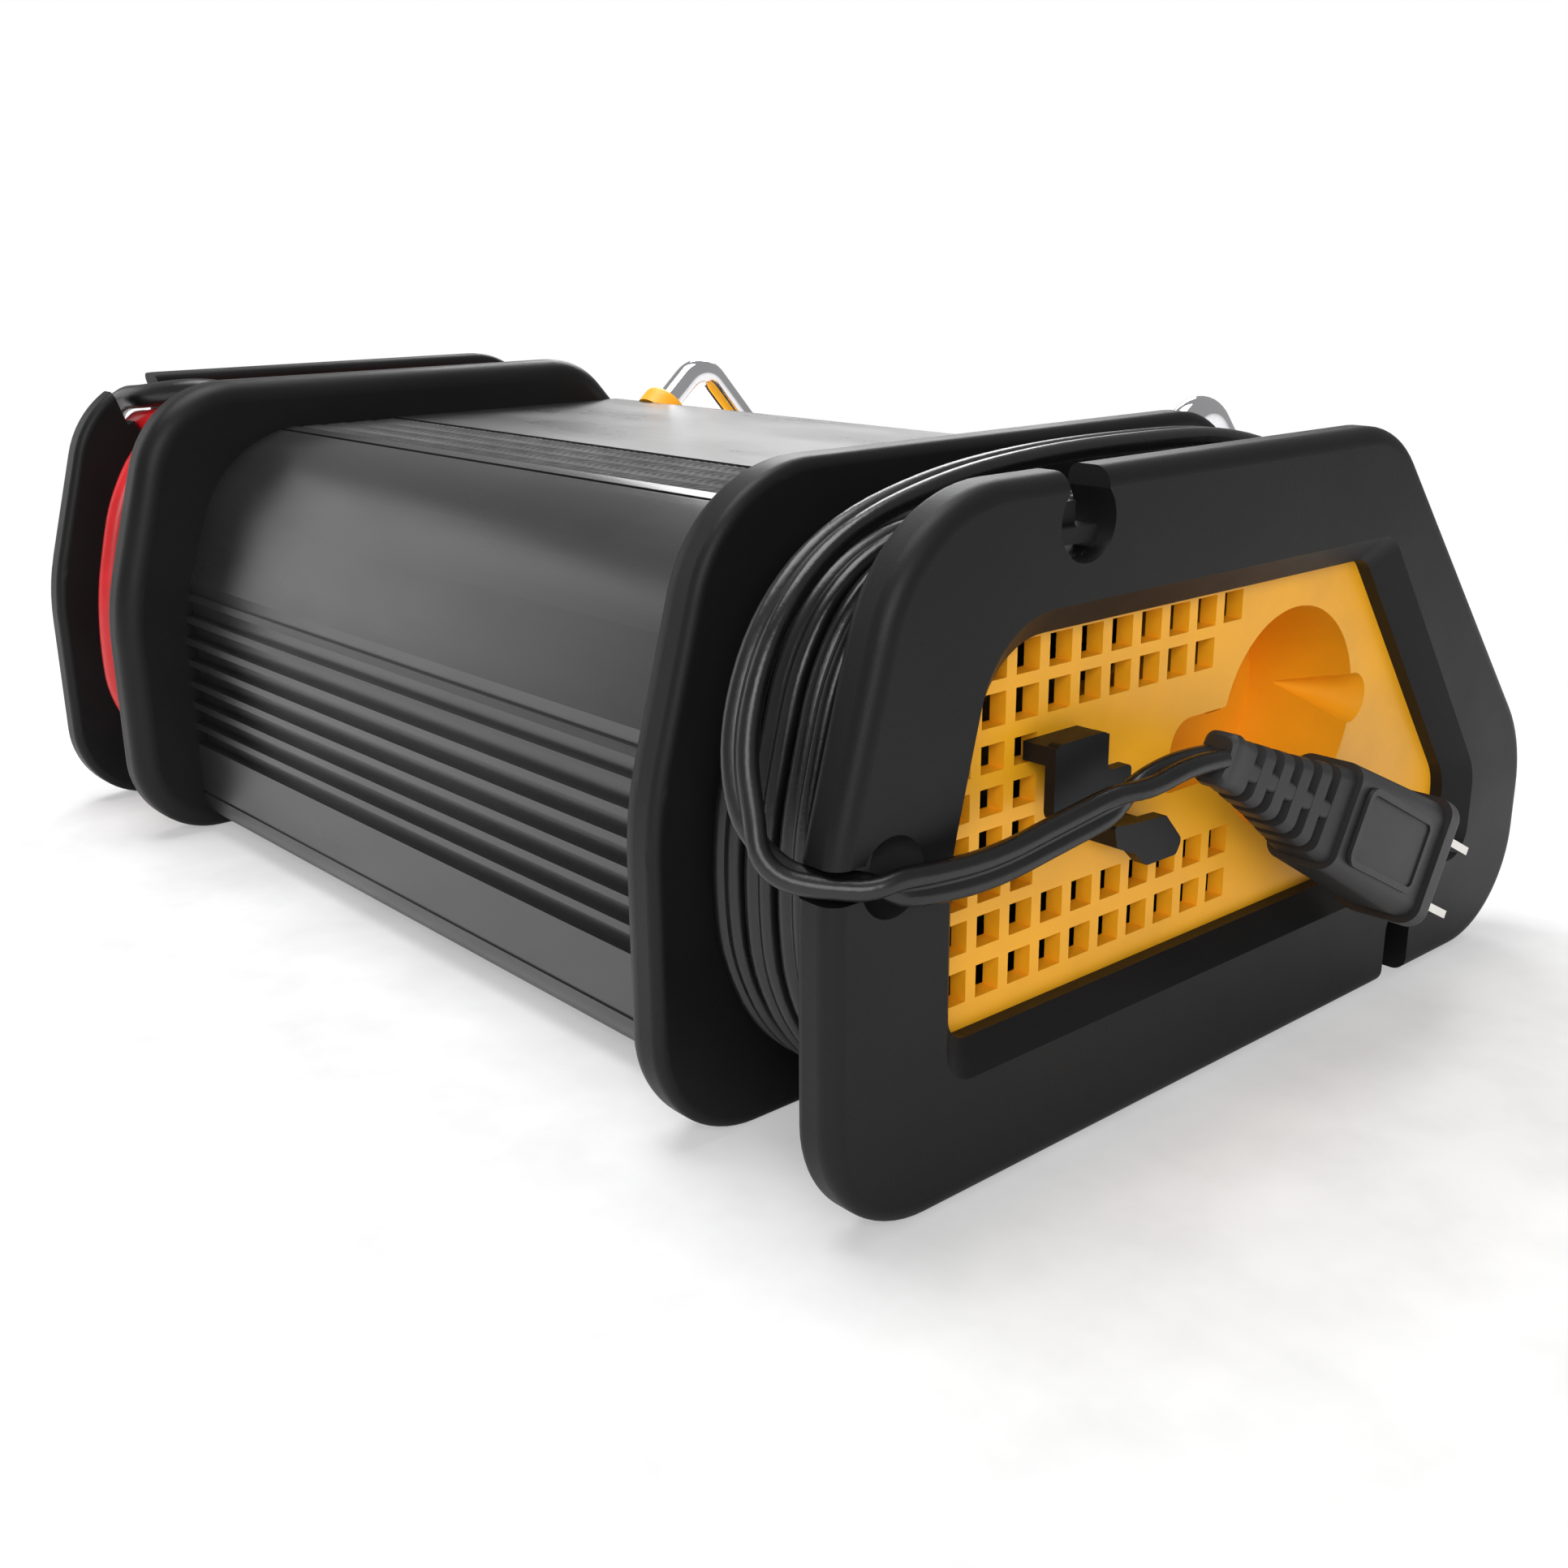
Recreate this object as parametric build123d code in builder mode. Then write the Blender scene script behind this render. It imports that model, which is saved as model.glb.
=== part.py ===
from build123d import *
from math import cos, pi, radians, sin, tan
import os

# Car battery charger with a cord reel at each end, in millimetres.
# X runs along the body, from the mains cord end (-X) to the battery lead end (+X).
# The sloped control panel faces -Y, the finned back faces +Y, and Z = 0 is the floor.

# Driving sizes
LENGTH = 298.0
PLATE = 8.0  # thickness of an end plate
CHANNEL = 32.0  # width of a cord channel
FLANGE = 10.0  # thickness of a reel flange
HALF = LENGTH / 2
PLATE_IN = HALF - PLATE  # inner face of an end plate
FLANGE_OUT = PLATE_IN - CHANNEL  # channel face of a flange
BODY_HALF = FLANGE_OUT - FLANGE  # half the length of the body

# Outline shared by the end plates and the flanges, as (y, z) corners, anticlockwise
RIM = [(98.8, 0), (98.8, 58), (84, 110), (-38.3, 110), (-98.8, 41.4), (-98.8, 0)]
RIM_RADII = [20, 60, 26, 20, 28, 22]
CORE_RADII = [20, 60, 20, 20, 12, 12]  # at the depth of the lead end's core
AC_CORE_DEPTH = 13.0  # the mains cord's core lies this far inside the rim
DC_CORE_DEPTH = 17.5
CORE_WALL = 2.5
AC_WINDING = 3.4  # thickness of the wound layers
DC_WINDING = 12.4
WINDOW = [(71, 25), (71, 55), (63, 86), (-36, 86), (-73, 37), (-73, 25)]
WINDOW_RADII = [4, 40, 14, 5, 10, 4]
VENT_FACE = -HALF + 6.5  # front of the yellow vent panel
VENT_THICK = 2.4
GRILLE_DEEP = 3.2  # thickness of the vent panel inside the window
SLOT_Z = 57.8  # cord slot in the mains end plate

# Body section
BODY_BOTTOM = 2.5
BODY_TOP = 98.6
BODY_BACK = 83.5
SKIN = 2.5
FIN_WALL = 4.0
FIN_PITCH = 5.35
FIN_GROOVE = 3.7
FIN_DEPTH = 2.6
TOP_FIN = 62.6  # height of the highest groove
FRONT_EDGE = -48.0  # where the fascia meets the top of the body
NOSE = -98.0
SLOPE_END = 41.9  # height where the sloped face would meet the nose

# Sloped face: its top edge and its direction down the slope
SLOPE_TOP = Vector(0, FRONT_EDGE, BODY_TOP)
SLOPE_DOWN = Vector(0, NOSE - FRONT_EDGE, SLOPE_END - BODY_TOP).normalized()
SLOPE_OUT = Vector(0, SLOPE_DOWN.Z, -SLOPE_DOWN.Y)

AC_CORD = 4.0  # diameter of the plain tube that holds the place of the flat cord
DC_CABLE = 6.0

os.makedirs("parts", exist_ok=True)


def slope_plane(x, down, height=0.0):
    """A plane on the sloped face, with its own y pointing up the slope."""
    return Plane(
        origin=SLOPE_TOP + Vector(x, 0, 0) + SLOPE_DOWN * down + SLOPE_OUT * height,
        x_dir=(1, 0, 0),
        z_dir=SLOPE_OUT,
    )


def inset(corners, depth):
    """The corners of an anticlockwise outline moved inwards by depth."""
    moved = []
    for i, (y, z) in enumerate(corners):
        before, after = corners[i - 1], corners[(i + 1) % len(corners)]
        in_dir = Vector(y - before[0], z - before[1]).normalized()
        out_dir = Vector(after[0] - y, after[1] - z).normalized()
        n1, n2 = Vector(-in_dir.Y, in_dir.X), Vector(-out_dir.Y, out_dir.X)
        step = (n1 + n2) * (depth / (1 + n1.dot(n2)))
        moved.append((y + step.X, z + step.Y))
    return moved


def outline(corners, radii, mode=Mode.ADD):
    """Adds the rounded outline to the sketch in progress."""
    with BuildLine() as edge:
        Polyline(*corners, close=True)
        for corner, radius in zip(corners, radii):
            if radius:
                fillet(edge.vertices().sort_by_distance(corner)[0], radius)
    make_face(edge.edges(), mode=mode)


def core_outline(depth, mode=Mode.ADD):
    """The reel core's outline, depth inside the rim; its corners grow rounder outwards."""
    radii = [r + DC_CORE_DEPTH - depth for r in CORE_RADII]
    outline(inset(RIM, depth), radii, mode=mode)


def cord_radii(points):
    """Arc radii for a cord's route: as large as the runs at each point allow."""
    radii = []
    for a, b, c in zip(points, points[1:], points[2:]):
        before, after = Vector(*b) - Vector(*a), Vector(*c) - Vector(*b)
        half_turn = radians(before.get_angle(after)) / 2
        radii.append(0.45 * min(before.length, after.length) / tan(half_turn))
    return radii


def save(piece, name):
    piece.part.label = name
    export_step(piece.part, f"parts/{name}.step")


# ---------------------------------------------------------------- body

with BuildPart() as body_extrusion:
    with BuildSketch(Plane.YZ.offset(-BODY_HALF)):
        outline(
            [
                (-90, BODY_BOTTOM),
                (BODY_BACK, BODY_BOTTOM),
                (BODY_BACK, 57),
                (68, BODY_TOP),
                (FRONT_EDGE, BODY_TOP),
                (FRONT_EDGE, BODY_TOP - SKIN),
                (66, BODY_TOP - SKIN),
                (BODY_BACK - FIN_WALL, 57),
                (BODY_BACK - FIN_WALL, BODY_BOTTOM + SKIN),
                (-90, BODY_BOTTOM + SKIN),
            ],
            [0, 8, 60, 30, 0, 0, 27, 55, 5, 0],
        )
        with Locations(*[(BODY_BACK, TOP_FIN - FIN_PITCH * i) for i in range(8)]):
            Rectangle(2 * FIN_DEPTH, FIN_GROOVE, mode=Mode.SUBTRACT)
        # seat of the grip strip, and the narrow line beside it
        with Locations((36, BODY_TOP)):
            Rectangle(28, 2.6, mode=Mode.SUBTRACT)
        with Locations((53.5, BODY_TOP - 0.6)):
            Rectangle(1.0, 1.6, mode=Mode.SUBTRACT)
        with Locations((BODY_BACK, 11)):
            Rectangle(0.8, 0.8, mode=Mode.SUBTRACT)
    extrude(amount=2 * BODY_HALF)
save(body_extrusion, "body_extrusion")

with BuildPart() as grip_strip:
    with BuildSketch(Plane.YZ.offset(-BODY_HALF)):
        with Locations((36, BODY_TOP - 0.7)):
            Rectangle(28, 1.2)
    extrude(amount=2 * BODY_HALF)
save(grip_strip, "grip_strip")

# yellow front fascia, with the seat of the control panel and the hole behind it
PANEL_LONG, PANEL_DEEP, PANEL_DOWN = 124.0, 50.0, 35.0
with BuildPart() as front_fascia:
    with BuildSketch(Plane.YZ.offset(-BODY_HALF)):
        outline(
            [
                (FRONT_EDGE, BODY_TOP),
                (NOSE, SLOPE_END),
                (NOSE, BODY_BOTTOM),
                (-90, BODY_BOTTOM),
                (-90, BODY_BOTTOM + 3),
                (NOSE + 3, BODY_BOTTOM + 3),
                (NOSE + 3, 40.64),
                (FRONT_EDGE, 94.06),
            ],
            [0, 26, 8, 0, 0, 5, 23, 0],
        )
    extrude(amount=2 * BODY_HALF)
    with BuildSketch(slope_plane(0, PANEL_DOWN)):
        RectangleRounded(PANEL_LONG + 0.4, PANEL_DEEP + 0.4, 4.2)
    extrude(amount=-1.4, mode=Mode.SUBTRACT)
    with BuildSketch(slope_plane(0, PANEL_DOWN)):
        RectangleRounded(PANEL_LONG - 6, PANEL_DEEP - 6, 3)
    extrude(amount=-6, mode=Mode.SUBTRACT)
    with BuildSketch(slope_plane(0, 0)):
        with Locations(*[(x, -d) for x in (-85, 85) for d in (5.5, 50.2)]):
            Circle(3.5)
    extrude(amount=-6, mode=Mode.SUBTRACT)
save(front_fascia, "front_fascia")

BUTTON_X = (-40.0, 0.0, 40.0)
BUTTON_DOWN = PANEL_DOWN + 13
LED_DOWN = PANEL_DOWN + 2.5
LED_X = (-48.0, -40.0, -32.0, 32.0, 40.0, 48.0)
with BuildPart() as control_panel:
    with BuildSketch(slope_plane(0, PANEL_DOWN, -1.4)):
        RectangleRounded(PANEL_LONG, PANEL_DEEP, 4)
        with Locations((0, 9)):
            RectangleRounded(56, 24, 2, mode=Mode.SUBTRACT)
        with Locations(*[(x, PANEL_DOWN - BUTTON_DOWN) for x in BUTTON_X]):
            RectangleRounded(18.3, 9.3, 3.15, mode=Mode.SUBTRACT)
        with Locations(*[(x, PANEL_DOWN - LED_DOWN) for x in LED_X]):
            Circle(1.5, mode=Mode.SUBTRACT)
    extrude(amount=2.2)
save(control_panel, "control_panel")

with BuildPart() as display_lens:
    with BuildSketch(slope_plane(0, PANEL_DOWN, -1.0)):
        with Locations((0, 9)):
            RectangleRounded(56, 24, 2)
    extrude(amount=1.6)
save(display_lens, "display_lens")

with BuildPart() as display_module:
    with BuildSketch(slope_plane(0, PANEL_DOWN, -5.0)):
        with Locations((0, 9)):
            Rectangle(50, 20)
    extrude(amount=3.9)
save(display_module, "display_module")

# panel board that carries the display, switches and lights
with BuildPart() as panel_board:
    with BuildSketch(slope_plane(0, PANEL_DOWN, -7.0)):
        Rectangle(108, 38)
    extrude(amount=1.6)
save(panel_board, "panel_board")

with BuildPart() as status_lights:
    with BuildSketch(slope_plane(0, LED_DOWN, -5.2)):
        with Locations(*[(x, 0) for x in LED_X]):
            Circle(1.45)
    extrude(amount=6.4)
save(status_lights, "status_lights")

for name, x in zip(("mode_button", "rate_button", "start_button"), BUTTON_X):
    with BuildPart() as button:
        with BuildSketch(slope_plane(x, BUTTON_DOWN, -2.6)):
            RectangleRounded(18, 9, 3)
        extrude(amount=5.0)
        fillet(button.faces().sort_by(Axis(SLOPE_TOP, SLOPE_OUT))[-1].edges(), 0.8)
        with BuildSketch(slope_plane(x, BUTTON_DOWN, -3.9)):
            Circle(2.2)
        extrude(amount=1.4)
    save(button, name)

# chrome bars that the hands take hold of, on domed yellow feet
BAR_X = (-85.0, 85.0)
BAR_TUBE = 7.0
BAR_TOP, BAR_LOW, BAR_RISE = 5.5, 50.2, 21.1
for name, x in zip(("chrome_bar_ac", "chrome_bar_dc"), BAR_X):
    with BuildPart() as bar:
        foot_depth = -2.9
        corners = [
            SLOPE_TOP + Vector(x, 0, 0) + SLOPE_DOWN * down + SLOPE_OUT * rise
            for down, rise in (
                (BAR_TOP, foot_depth),
                (BAR_TOP, BAR_RISE),
                (BAR_LOW, BAR_RISE),
                (BAR_LOW, foot_depth),
            )
        ]
        with BuildLine() as bend:
            FilletPolyline(*corners, radius=7)
        with BuildSketch(Plane(origin=corners[0], z_dir=SLOPE_OUT)):
            Circle(BAR_TUBE / 2)
        sweep(path=bend.wires()[0])
    save(bar, name)

with BuildPart() as bar_feet:
    for x in BAR_X:
        for down in (BAR_TOP, BAR_LOW):
            with BuildSketch(slope_plane(x, down)):
                Circle(6.5)
                Circle(BAR_TUBE / 2, mode=Mode.SUBTRACT)
            extrude(amount=6.0)
    rims = bar_feet.edges().filter_by(GeomType.CIRCLE)
    outer = [e for e in rims if e.radius > 6 and (e.arc_center - SLOPE_TOP).dot(SLOPE_OUT) > 3]
    fillet(outer, 2.6)
save(bar_feet, "bar_feet")

# ---------------------------------------------------------------- reels

with BuildPart() as ac_reel:
    with BuildSketch(Plane.YZ.offset(-FLANGE_OUT)):
        outline(RIM, RIM_RADII)
    extrude(amount=FLANGE)
    fillet(ac_reel.faces().sort_by(Axis.X)[-1].edges(), 5)
    fillet(ac_reel.faces().sort_by(Axis.X)[0].edges(), 2)
    with BuildSketch(Plane.YZ.offset(-PLATE_IN)):
        core_outline(AC_CORE_DEPTH)
    extrude(amount=CHANNEL)
    with BuildSketch(Plane.YZ.offset(-PLATE_IN)):
        core_outline(AC_CORE_DEPTH + CORE_WALL)
    extrude(amount=CHANNEL + FLANGE, mode=Mode.SUBTRACT)
    # clearance round the edge of the vent panel
    with BuildSketch(Plane.YZ.offset(-PLATE_IN)):
        outline(inset(WINDOW, -3.2), [r + 3.2 for r in WINDOW_RADII])
    extrude(amount=1, mode=Mode.SUBTRACT)
    with BuildSketch(Plane.XY):
        with Locations((-118, 40)):
            Circle(5)
    extrude(amount=20, mode=Mode.SUBTRACT)
save(ac_reel, "ac_reel")

with BuildPart() as dc_reel:
    with BuildSketch(Plane.YZ.offset(BODY_HALF)):
        outline(RIM, RIM_RADII)
    extrude(amount=FLANGE)
    fillet(dc_reel.faces().sort_by(Axis.X)[0].edges(), 5)
    fillet(dc_reel.faces().sort_by(Axis.X)[-1].edges(), 2)
    with BuildSketch(Plane.YZ.offset(FLANGE_OUT)):
        core_outline(DC_CORE_DEPTH)
    extrude(amount=CHANNEL)
    with BuildSketch(Plane.YZ.offset(BODY_HALF)):
        core_outline(DC_CORE_DEPTH + CORE_WALL)
    extrude(amount=CHANNEL + FLANGE, mode=Mode.SUBTRACT)
    with BuildSketch(Plane.XY):
        with Locations((115, 40), (133, 40)):
            Circle(5)
    extrude(amount=24, mode=Mode.SUBTRACT)
save(dc_reel, "dc_reel")

with BuildPart() as ac_grommet:
    with BuildSketch(Plane.XY.offset(AC_CORE_DEPTH)):
        with Locations((-118, 40)):
            Circle(5)
            RectangleRounded(6.8, 3.6, 1.7, mode=Mode.SUBTRACT)
    extrude(amount=CORE_WALL)
    with BuildSketch(Plane.XY.offset(AC_CORE_DEPTH + CORE_WALL)):
        with Locations((-118, 40)):
            Circle(7)
            RectangleRounded(6.8, 3.6, 1.7, mode=Mode.SUBTRACT)
    extrude(amount=4)
save(ac_grommet, "ac_grommet")

with BuildPart() as dc_grommets:
    with BuildSketch(Plane.XY.offset(DC_CORE_DEPTH)):
        with Locations((115, 40), (133, 40)):
            Circle(5)
            Circle(3.05, mode=Mode.SUBTRACT)
    extrude(amount=CORE_WALL)
save(dc_grommets, "dc_grommets")

# mains end plate: a frame round the vent panel, with the cord slot, the lug pocket and the foot notch
FOOT_NOTCH_Y = -53.5

with BuildPart() as ac_end_plate:
    with BuildSketch(Plane.YZ.offset(-HALF)):
        outline(RIM, RIM_RADII)
    extrude(amount=PLATE)
    fillet(ac_end_plate.faces().sort_by(Axis.X)[0].edges(), 3)
    fillet(ac_end_plate.faces().sort_by(Axis.X)[-1].edges(), 2)
    with BuildSketch(Plane.YZ.offset(-HALF)):
        outline(WINDOW, WINDOW_RADII)
    extrude(amount=PLATE, mode=Mode.SUBTRACT)
    # bevel round the window
    with BuildSketch(Plane.YZ.offset(-HALF)) as wide_mouth:
        outline(inset(WINDOW, -4.5), [r + 2 for r in WINDOW_RADII])
    with BuildSketch(Plane.YZ.offset(-HALF + 4)) as narrow_mouth:
        outline(WINDOW, WINDOW_RADII)
    loft(mode=Mode.SUBTRACT)
    # rebate that takes the vent panel
    with BuildSketch(Plane.YZ.offset(VENT_FACE)):
        outline(inset(WINDOW, -3.1), [r + 3.1 for r in WINDOW_RADII])
    extrude(amount=PLATE, mode=Mode.SUBTRACT)
    # cord slot at the back edge, with its flared mouth
    with Locations((-HALF + PLATE / 2, 94.4, SLOT_Z)):
        Box(PLATE, 12.8, 5.0, mode=Mode.SUBTRACT)
    with Locations((-HALF - 3, 87, SLOT_Z - 0.5)):
        Sphere(6.8, mode=Mode.SUBTRACT)
    # lug pocket in the top edge
    with BuildSketch(Plane.YZ.offset(-HALF)):
        with Locations((47.5, 102.5)):
            Circle(6.2)
        with Locations((47.5, 107.5)):
            Rectangle(9, 8)
    extrude(amount=PLATE, mode=Mode.SUBTRACT)
    # foot notch
    with BuildSketch(Plane.YZ.offset(-HALF)):
        with Locations((FOOT_NOTCH_Y, 5)):
            Rectangle(9, 12)
        with Locations((FOOT_NOTCH_Y, 11)):
            Circle(4.5)
    extrude(amount=PLATE, mode=Mode.SUBTRACT)
save(ac_end_plate, "ac_end_plate")

with BuildPart() as lug_pin:
    with Locations((-HALF + PLATE / 2 + 0.5, 47.5, 100.2)):
        Box(5, 8.6, 2.4)
    with Locations((-HALF + PLATE / 2 + 1.5, 47.5, 103.2)):
        Box(3, 3.2, 3.6)
save(lug_pin, "strap_lug")

# DC plate: notch centre line runs from the centre of the upper back corner
NOTCH_CENTRE = (64.4, 84.0)
NOTCH_TURN = 71.0
with BuildPart() as dc_end_plate:
    with BuildSketch(Plane.YZ.offset(PLATE_IN)):
        outline(RIM, RIM_RADII)
    extrude(amount=PLATE)
    fillet(dc_end_plate.faces().sort_by(Axis.X)[-1].edges(), 3)
    fillet(dc_end_plate.faces().sort_by(Axis.X)[0].edges(), 2)
    with BuildSketch(Plane.YZ.offset(PLATE_IN)):
        outline(WINDOW, WINDOW_RADII)
    extrude(amount=PLATE, mode=Mode.SUBTRACT)
    fillet(
        dc_end_plate.faces().sort_by(Axis.X)[-1].inner_wires()[0].edges(),
        2,
    )
    along = Vector(cos(radians(NOTCH_TURN)), sin(radians(NOTCH_TURN)))
    with BuildSketch(Plane.YZ.offset(PLATE_IN)):
        for out, long, wide in ((15.75, 9.5, 8), (22.5, 12, 12)):
            with Locations((NOTCH_CENTRE[0] + out * along.X, NOTCH_CENTRE[1] + out * along.Y)):
                Rectangle(long, wide, rotation=NOTCH_TURN)
        with Locations((NOTCH_CENTRE[0] + 11 * along.X, NOTCH_CENTRE[1] + 11 * along.Y)):
            Circle(4)
    extrude(amount=PLATE, mode=Mode.SUBTRACT)
    with BuildSketch(Plane.YZ.offset(PLATE_IN)):
        with Locations((FOOT_NOTCH_Y, 5)):
            Rectangle(9, 12)
        with Locations((FOOT_NOTCH_Y, 11)):
            Circle(4.5)
    extrude(amount=PLATE, mode=Mode.SUBTRACT)
save(dc_end_plate, "dc_end_plate")

# ---------------------------------------------------------------- vent panel at the mains end

GRID = 7.43
HOLE = 5.2
POCKET = (-19.0, 59.0)
POCKET_R = 20.3
POCKET_DEPTH = 24.0
NOTCH_DEEP = 16.5
COLUMN_0 = 67.2  # centre of the column of holes nearest the back
TALL_ROWS = [(82.2, 5.2, 10), (75.0, 5.2, 9), (40.2, 5.2, 10), (32.0, 5.4, 10)]
SHORT_ROWS = [(67.6, 4.4), (60.8, 4.4), (54.0, 4.8), (47.2, 4.6)]


def cup_outline():
    """The outer shape of the pocket for the plug."""
    with Locations(POCKET):
        Circle(POCKET_R + 1.8)
    with Locations((POCKET[0] - POCKET_R, POCKET[1])):
        Circle(5.2)
    outline([(4, 50.5), (19.5, 50.5), (16, 66.5), (-4, 66.5)], [0, 3, 7, 0])


with BuildPart() as ac_vent_panel:
    with BuildSketch(Plane.YZ.offset(VENT_FACE)):
        outline(inset(WINDOW, -3.0), [r + 3.0 for r in WINDOW_RADII])
    extrude(amount=VENT_THICK)
    with BuildSketch(Plane.YZ.offset(VENT_FACE)):
        outline(WINDOW, WINDOW_RADII)
    extrude(amount=GRILLE_DEEP)
    with BuildSketch(Plane.YZ.offset(VENT_FACE)):
        for z, tall, count in TALL_ROWS:
            with Locations(*[(COLUMN_0 - GRID * i, z) for i in range(count)]):
                Rectangle(HOLE, tall)
        for z, tall in SHORT_ROWS:
            with Locations(*[(COLUMN_0 - GRID * i, z) for i in range(3)]):
                Rectangle(HOLE, tall)
    extrude(amount=GRILLE_DEEP, mode=Mode.SUBTRACT)
    with BuildSketch(Plane.YZ.offset(VENT_FACE)):
        cup_outline()
    extrude(amount=GRILLE_DEEP, mode=Mode.SUBTRACT)
save(ac_vent_panel, "ac_vent_panel")

# round pocket for the plug, with a conical side notch and a channel that leads the cord in
with BuildPart() as plug_cup:
    with BuildSketch(Plane.YZ.offset(VENT_FACE)):
        cup_outline()
    extrude(amount=POCKET_DEPTH)
    with BuildSketch(Plane.YZ.offset(VENT_FACE)):
        with Locations(POCKET):
            Circle(POCKET_R)
        outline([(-6, 52.3), (17.5, 52.3), (14.5, 64.7), (-6, 64.7)], [0, 2, 5, 0])
    extrude(amount=POCKET_DEPTH - 1.8, mode=Mode.SUBTRACT)
    with Locations(
        Location((VENT_FACE + NOTCH_DEEP / 2, POCKET[0] - POCKET_R, POCKET[1]), (0, 90, 0))
    ):
        Cone(4.8, 0.3, NOTCH_DEEP, mode=Mode.SUBTRACT)
    # vent hole in the pocket's floor
    with BuildSketch(Plane.YZ.offset(VENT_FACE + POCKET_DEPTH - 1.8)):
        with Locations((-28, 57)):
            Rectangle(5, 6)
    extrude(amount=1.8, mode=Mode.SUBTRACT)
save(plug_cup, "plug_cup")

# upper hook: an arm out of the panel with a lip hanging from it
with BuildPart() as cord_hook_upper:
    with BuildSketch(Plane.YZ.offset(-HALF)):
        with Locations((46.7, 67.5)):
            Rectangle(12.6, 3)
    extrude(amount=HALF + VENT_FACE)
    with BuildSketch(Plane.YZ.offset(-HALF)):
        outline(
            [(53, 57), (53, 69.5), (40.4, 69.5), (40.4, 63), (34.5, 63), (34.5, 57.2)],
            [2, 1.5, 1.5, 1.2, 1, 1],
        )
    extrude(amount=2)
save(cord_hook_upper, "cord_hook_upper")

# lower hook: a stem out of the panel with a tongue at its end
with BuildPart() as cord_hook_lower:
    with BuildSketch(Plane.YZ.offset(-HALF)):
        outline(
            [(24.7, 52.2), (20.0, 47.0), (21.4, 44.6), (29.4, 44.6), (35.6, 50.4), (33, 52.6)],
            [1, 1.5, 1, 2, 1, 1],
        )
    extrude(amount=2.4)
    with BuildSketch(Plane.YZ.offset(-HALF)):
        outline(
            [(27.6, 52.0), (30.2, 48.4), (33.0, 47.6), (37.1, 49.4), (38, 53.2)],
            [0.5, 0.5, 0.5, 0.5, 0.5],
        )
    extrude(amount=HALF + VENT_FACE)
save(cord_hook_lower, "cord_hook_lower")

# ---------------------------------------------------------------- bay for the clamps at the lead end

BAY_BACK = BODY_HALF
BAY_THICK = 2.5
BITE_Y, BITE_Z = -26.0, 50.0  # the parking rib that the clamps bite on
with BuildPart() as dc_vent_panel:
    with BuildSketch(Plane.YZ.offset(BAY_BACK)):
        core_outline(DC_CORE_DEPTH + CORE_WALL)
    extrude(amount=BAY_THICK)
    with BuildSketch(Plane.YZ.offset(BAY_BACK)):
        with Locations((0, 50)):
            with GridLocations(GRID, GRID, 9, 9):
                Rectangle(HOLE, HOLE)
        with Locations((BITE_Y, BITE_Z)):
            Rectangle(20, 6, mode=Mode.SUBTRACT)
    extrude(amount=BAY_THICK, mode=Mode.SUBTRACT)
save(dc_vent_panel, "dc_vent_panel")

with BuildPart() as parking_rib:
    with BuildSketch(Plane.YZ.offset(BAY_BACK + BAY_THICK)):
        with Locations((BITE_Y, BITE_Z)):
            RectangleRounded(18, 9, 2)
    extrude(amount=1.5)
    with BuildSketch(Plane.YZ.offset(BAY_BACK + BAY_THICK + 1.5)):
        with Locations((BITE_Y, BITE_Z)):
            Rectangle(14, 3)
    extrude(amount=36.5)
    fillet(parking_rib.faces().sort_by(Axis.X)[-1].edges(), 1)
save(parking_rib, "parking_rib")

# ---------------------------------------------------------------- fan

FAN_Z = 50.0
FAN_OUT = BAY_BACK - 0.2
FAN_THICK = 20.0
FAN_IN = FAN_OUT - FAN_THICK
with BuildPart() as fan_frame:
    with BuildSketch(Plane.YZ.offset(FAN_IN)):
        with Locations((0, FAN_Z)):
            RectangleRounded(80, 80, 5)
            Circle(37.5, mode=Mode.SUBTRACT)
            with GridLocations(71, 71, 2, 2):
                Circle(2.2, mode=Mode.SUBTRACT)
    extrude(amount=FAN_THICK)
    with BuildSketch(Plane.YZ.offset(FAN_OUT - 2.5)):
        with Locations((0, FAN_Z)):
            Circle(17)
            Rectangle(78, 5)
            Rectangle(5, 78)
    extrude(amount=2.5)
    with BuildSketch(Plane.YZ.offset(FAN_IN + 4)):
        with Locations((0, FAN_Z)):
            Circle(2)
    extrude(amount=FAN_THICK - 6)
save(fan_frame, "fan_frame")

with BuildPart() as fan_rotor:
    with BuildSketch(Plane.YZ.offset(FAN_IN + 2)):
        with Locations((0, FAN_Z)):
            Circle(16)
    extrude(amount=14)
    fillet(fan_rotor.faces().sort_by(Axis.X)[0].edges(), 1.5)
    for i in range(7):
        turn = 2 * pi * i / 7
        radial = Vector(0, cos(turn), sin(turn))
        with BuildSketch(
            Plane(
                origin=Vector(FAN_IN + 8.7, 0, FAN_Z) + radial * 14,
                x_dir=(1, 0, 0),
                z_dir=radial,
            )
        ):
            Rectangle(1.6, 19, rotation=-58)
        extrude(amount=21.5)
    with BuildSketch(Plane.YZ.offset(FAN_IN + 3.8)):
        with Locations((0, FAN_Z)):
            Circle(2.06)
    extrude(amount=FAN_THICK, mode=Mode.SUBTRACT)
save(fan_rotor, "fan_rotor")

# ---------------------------------------------------------------- inside the body

BOARD_Z = 12.0
BOARD_TOP = BOARD_Z + 1.6
BOARD_POSTS = [(-88, -60), (-88, 60), (64, -60), (64, 60)]
with BuildPart() as board_posts:
    with BuildSketch(Plane.XY.offset(BODY_BOTTOM + SKIN)):
        with Locations(*BOARD_POSTS):
            Circle(3.5)
    extrude(amount=BOARD_Z - BODY_BOTTOM - SKIN)
save(board_posts, "board_posts")

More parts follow.
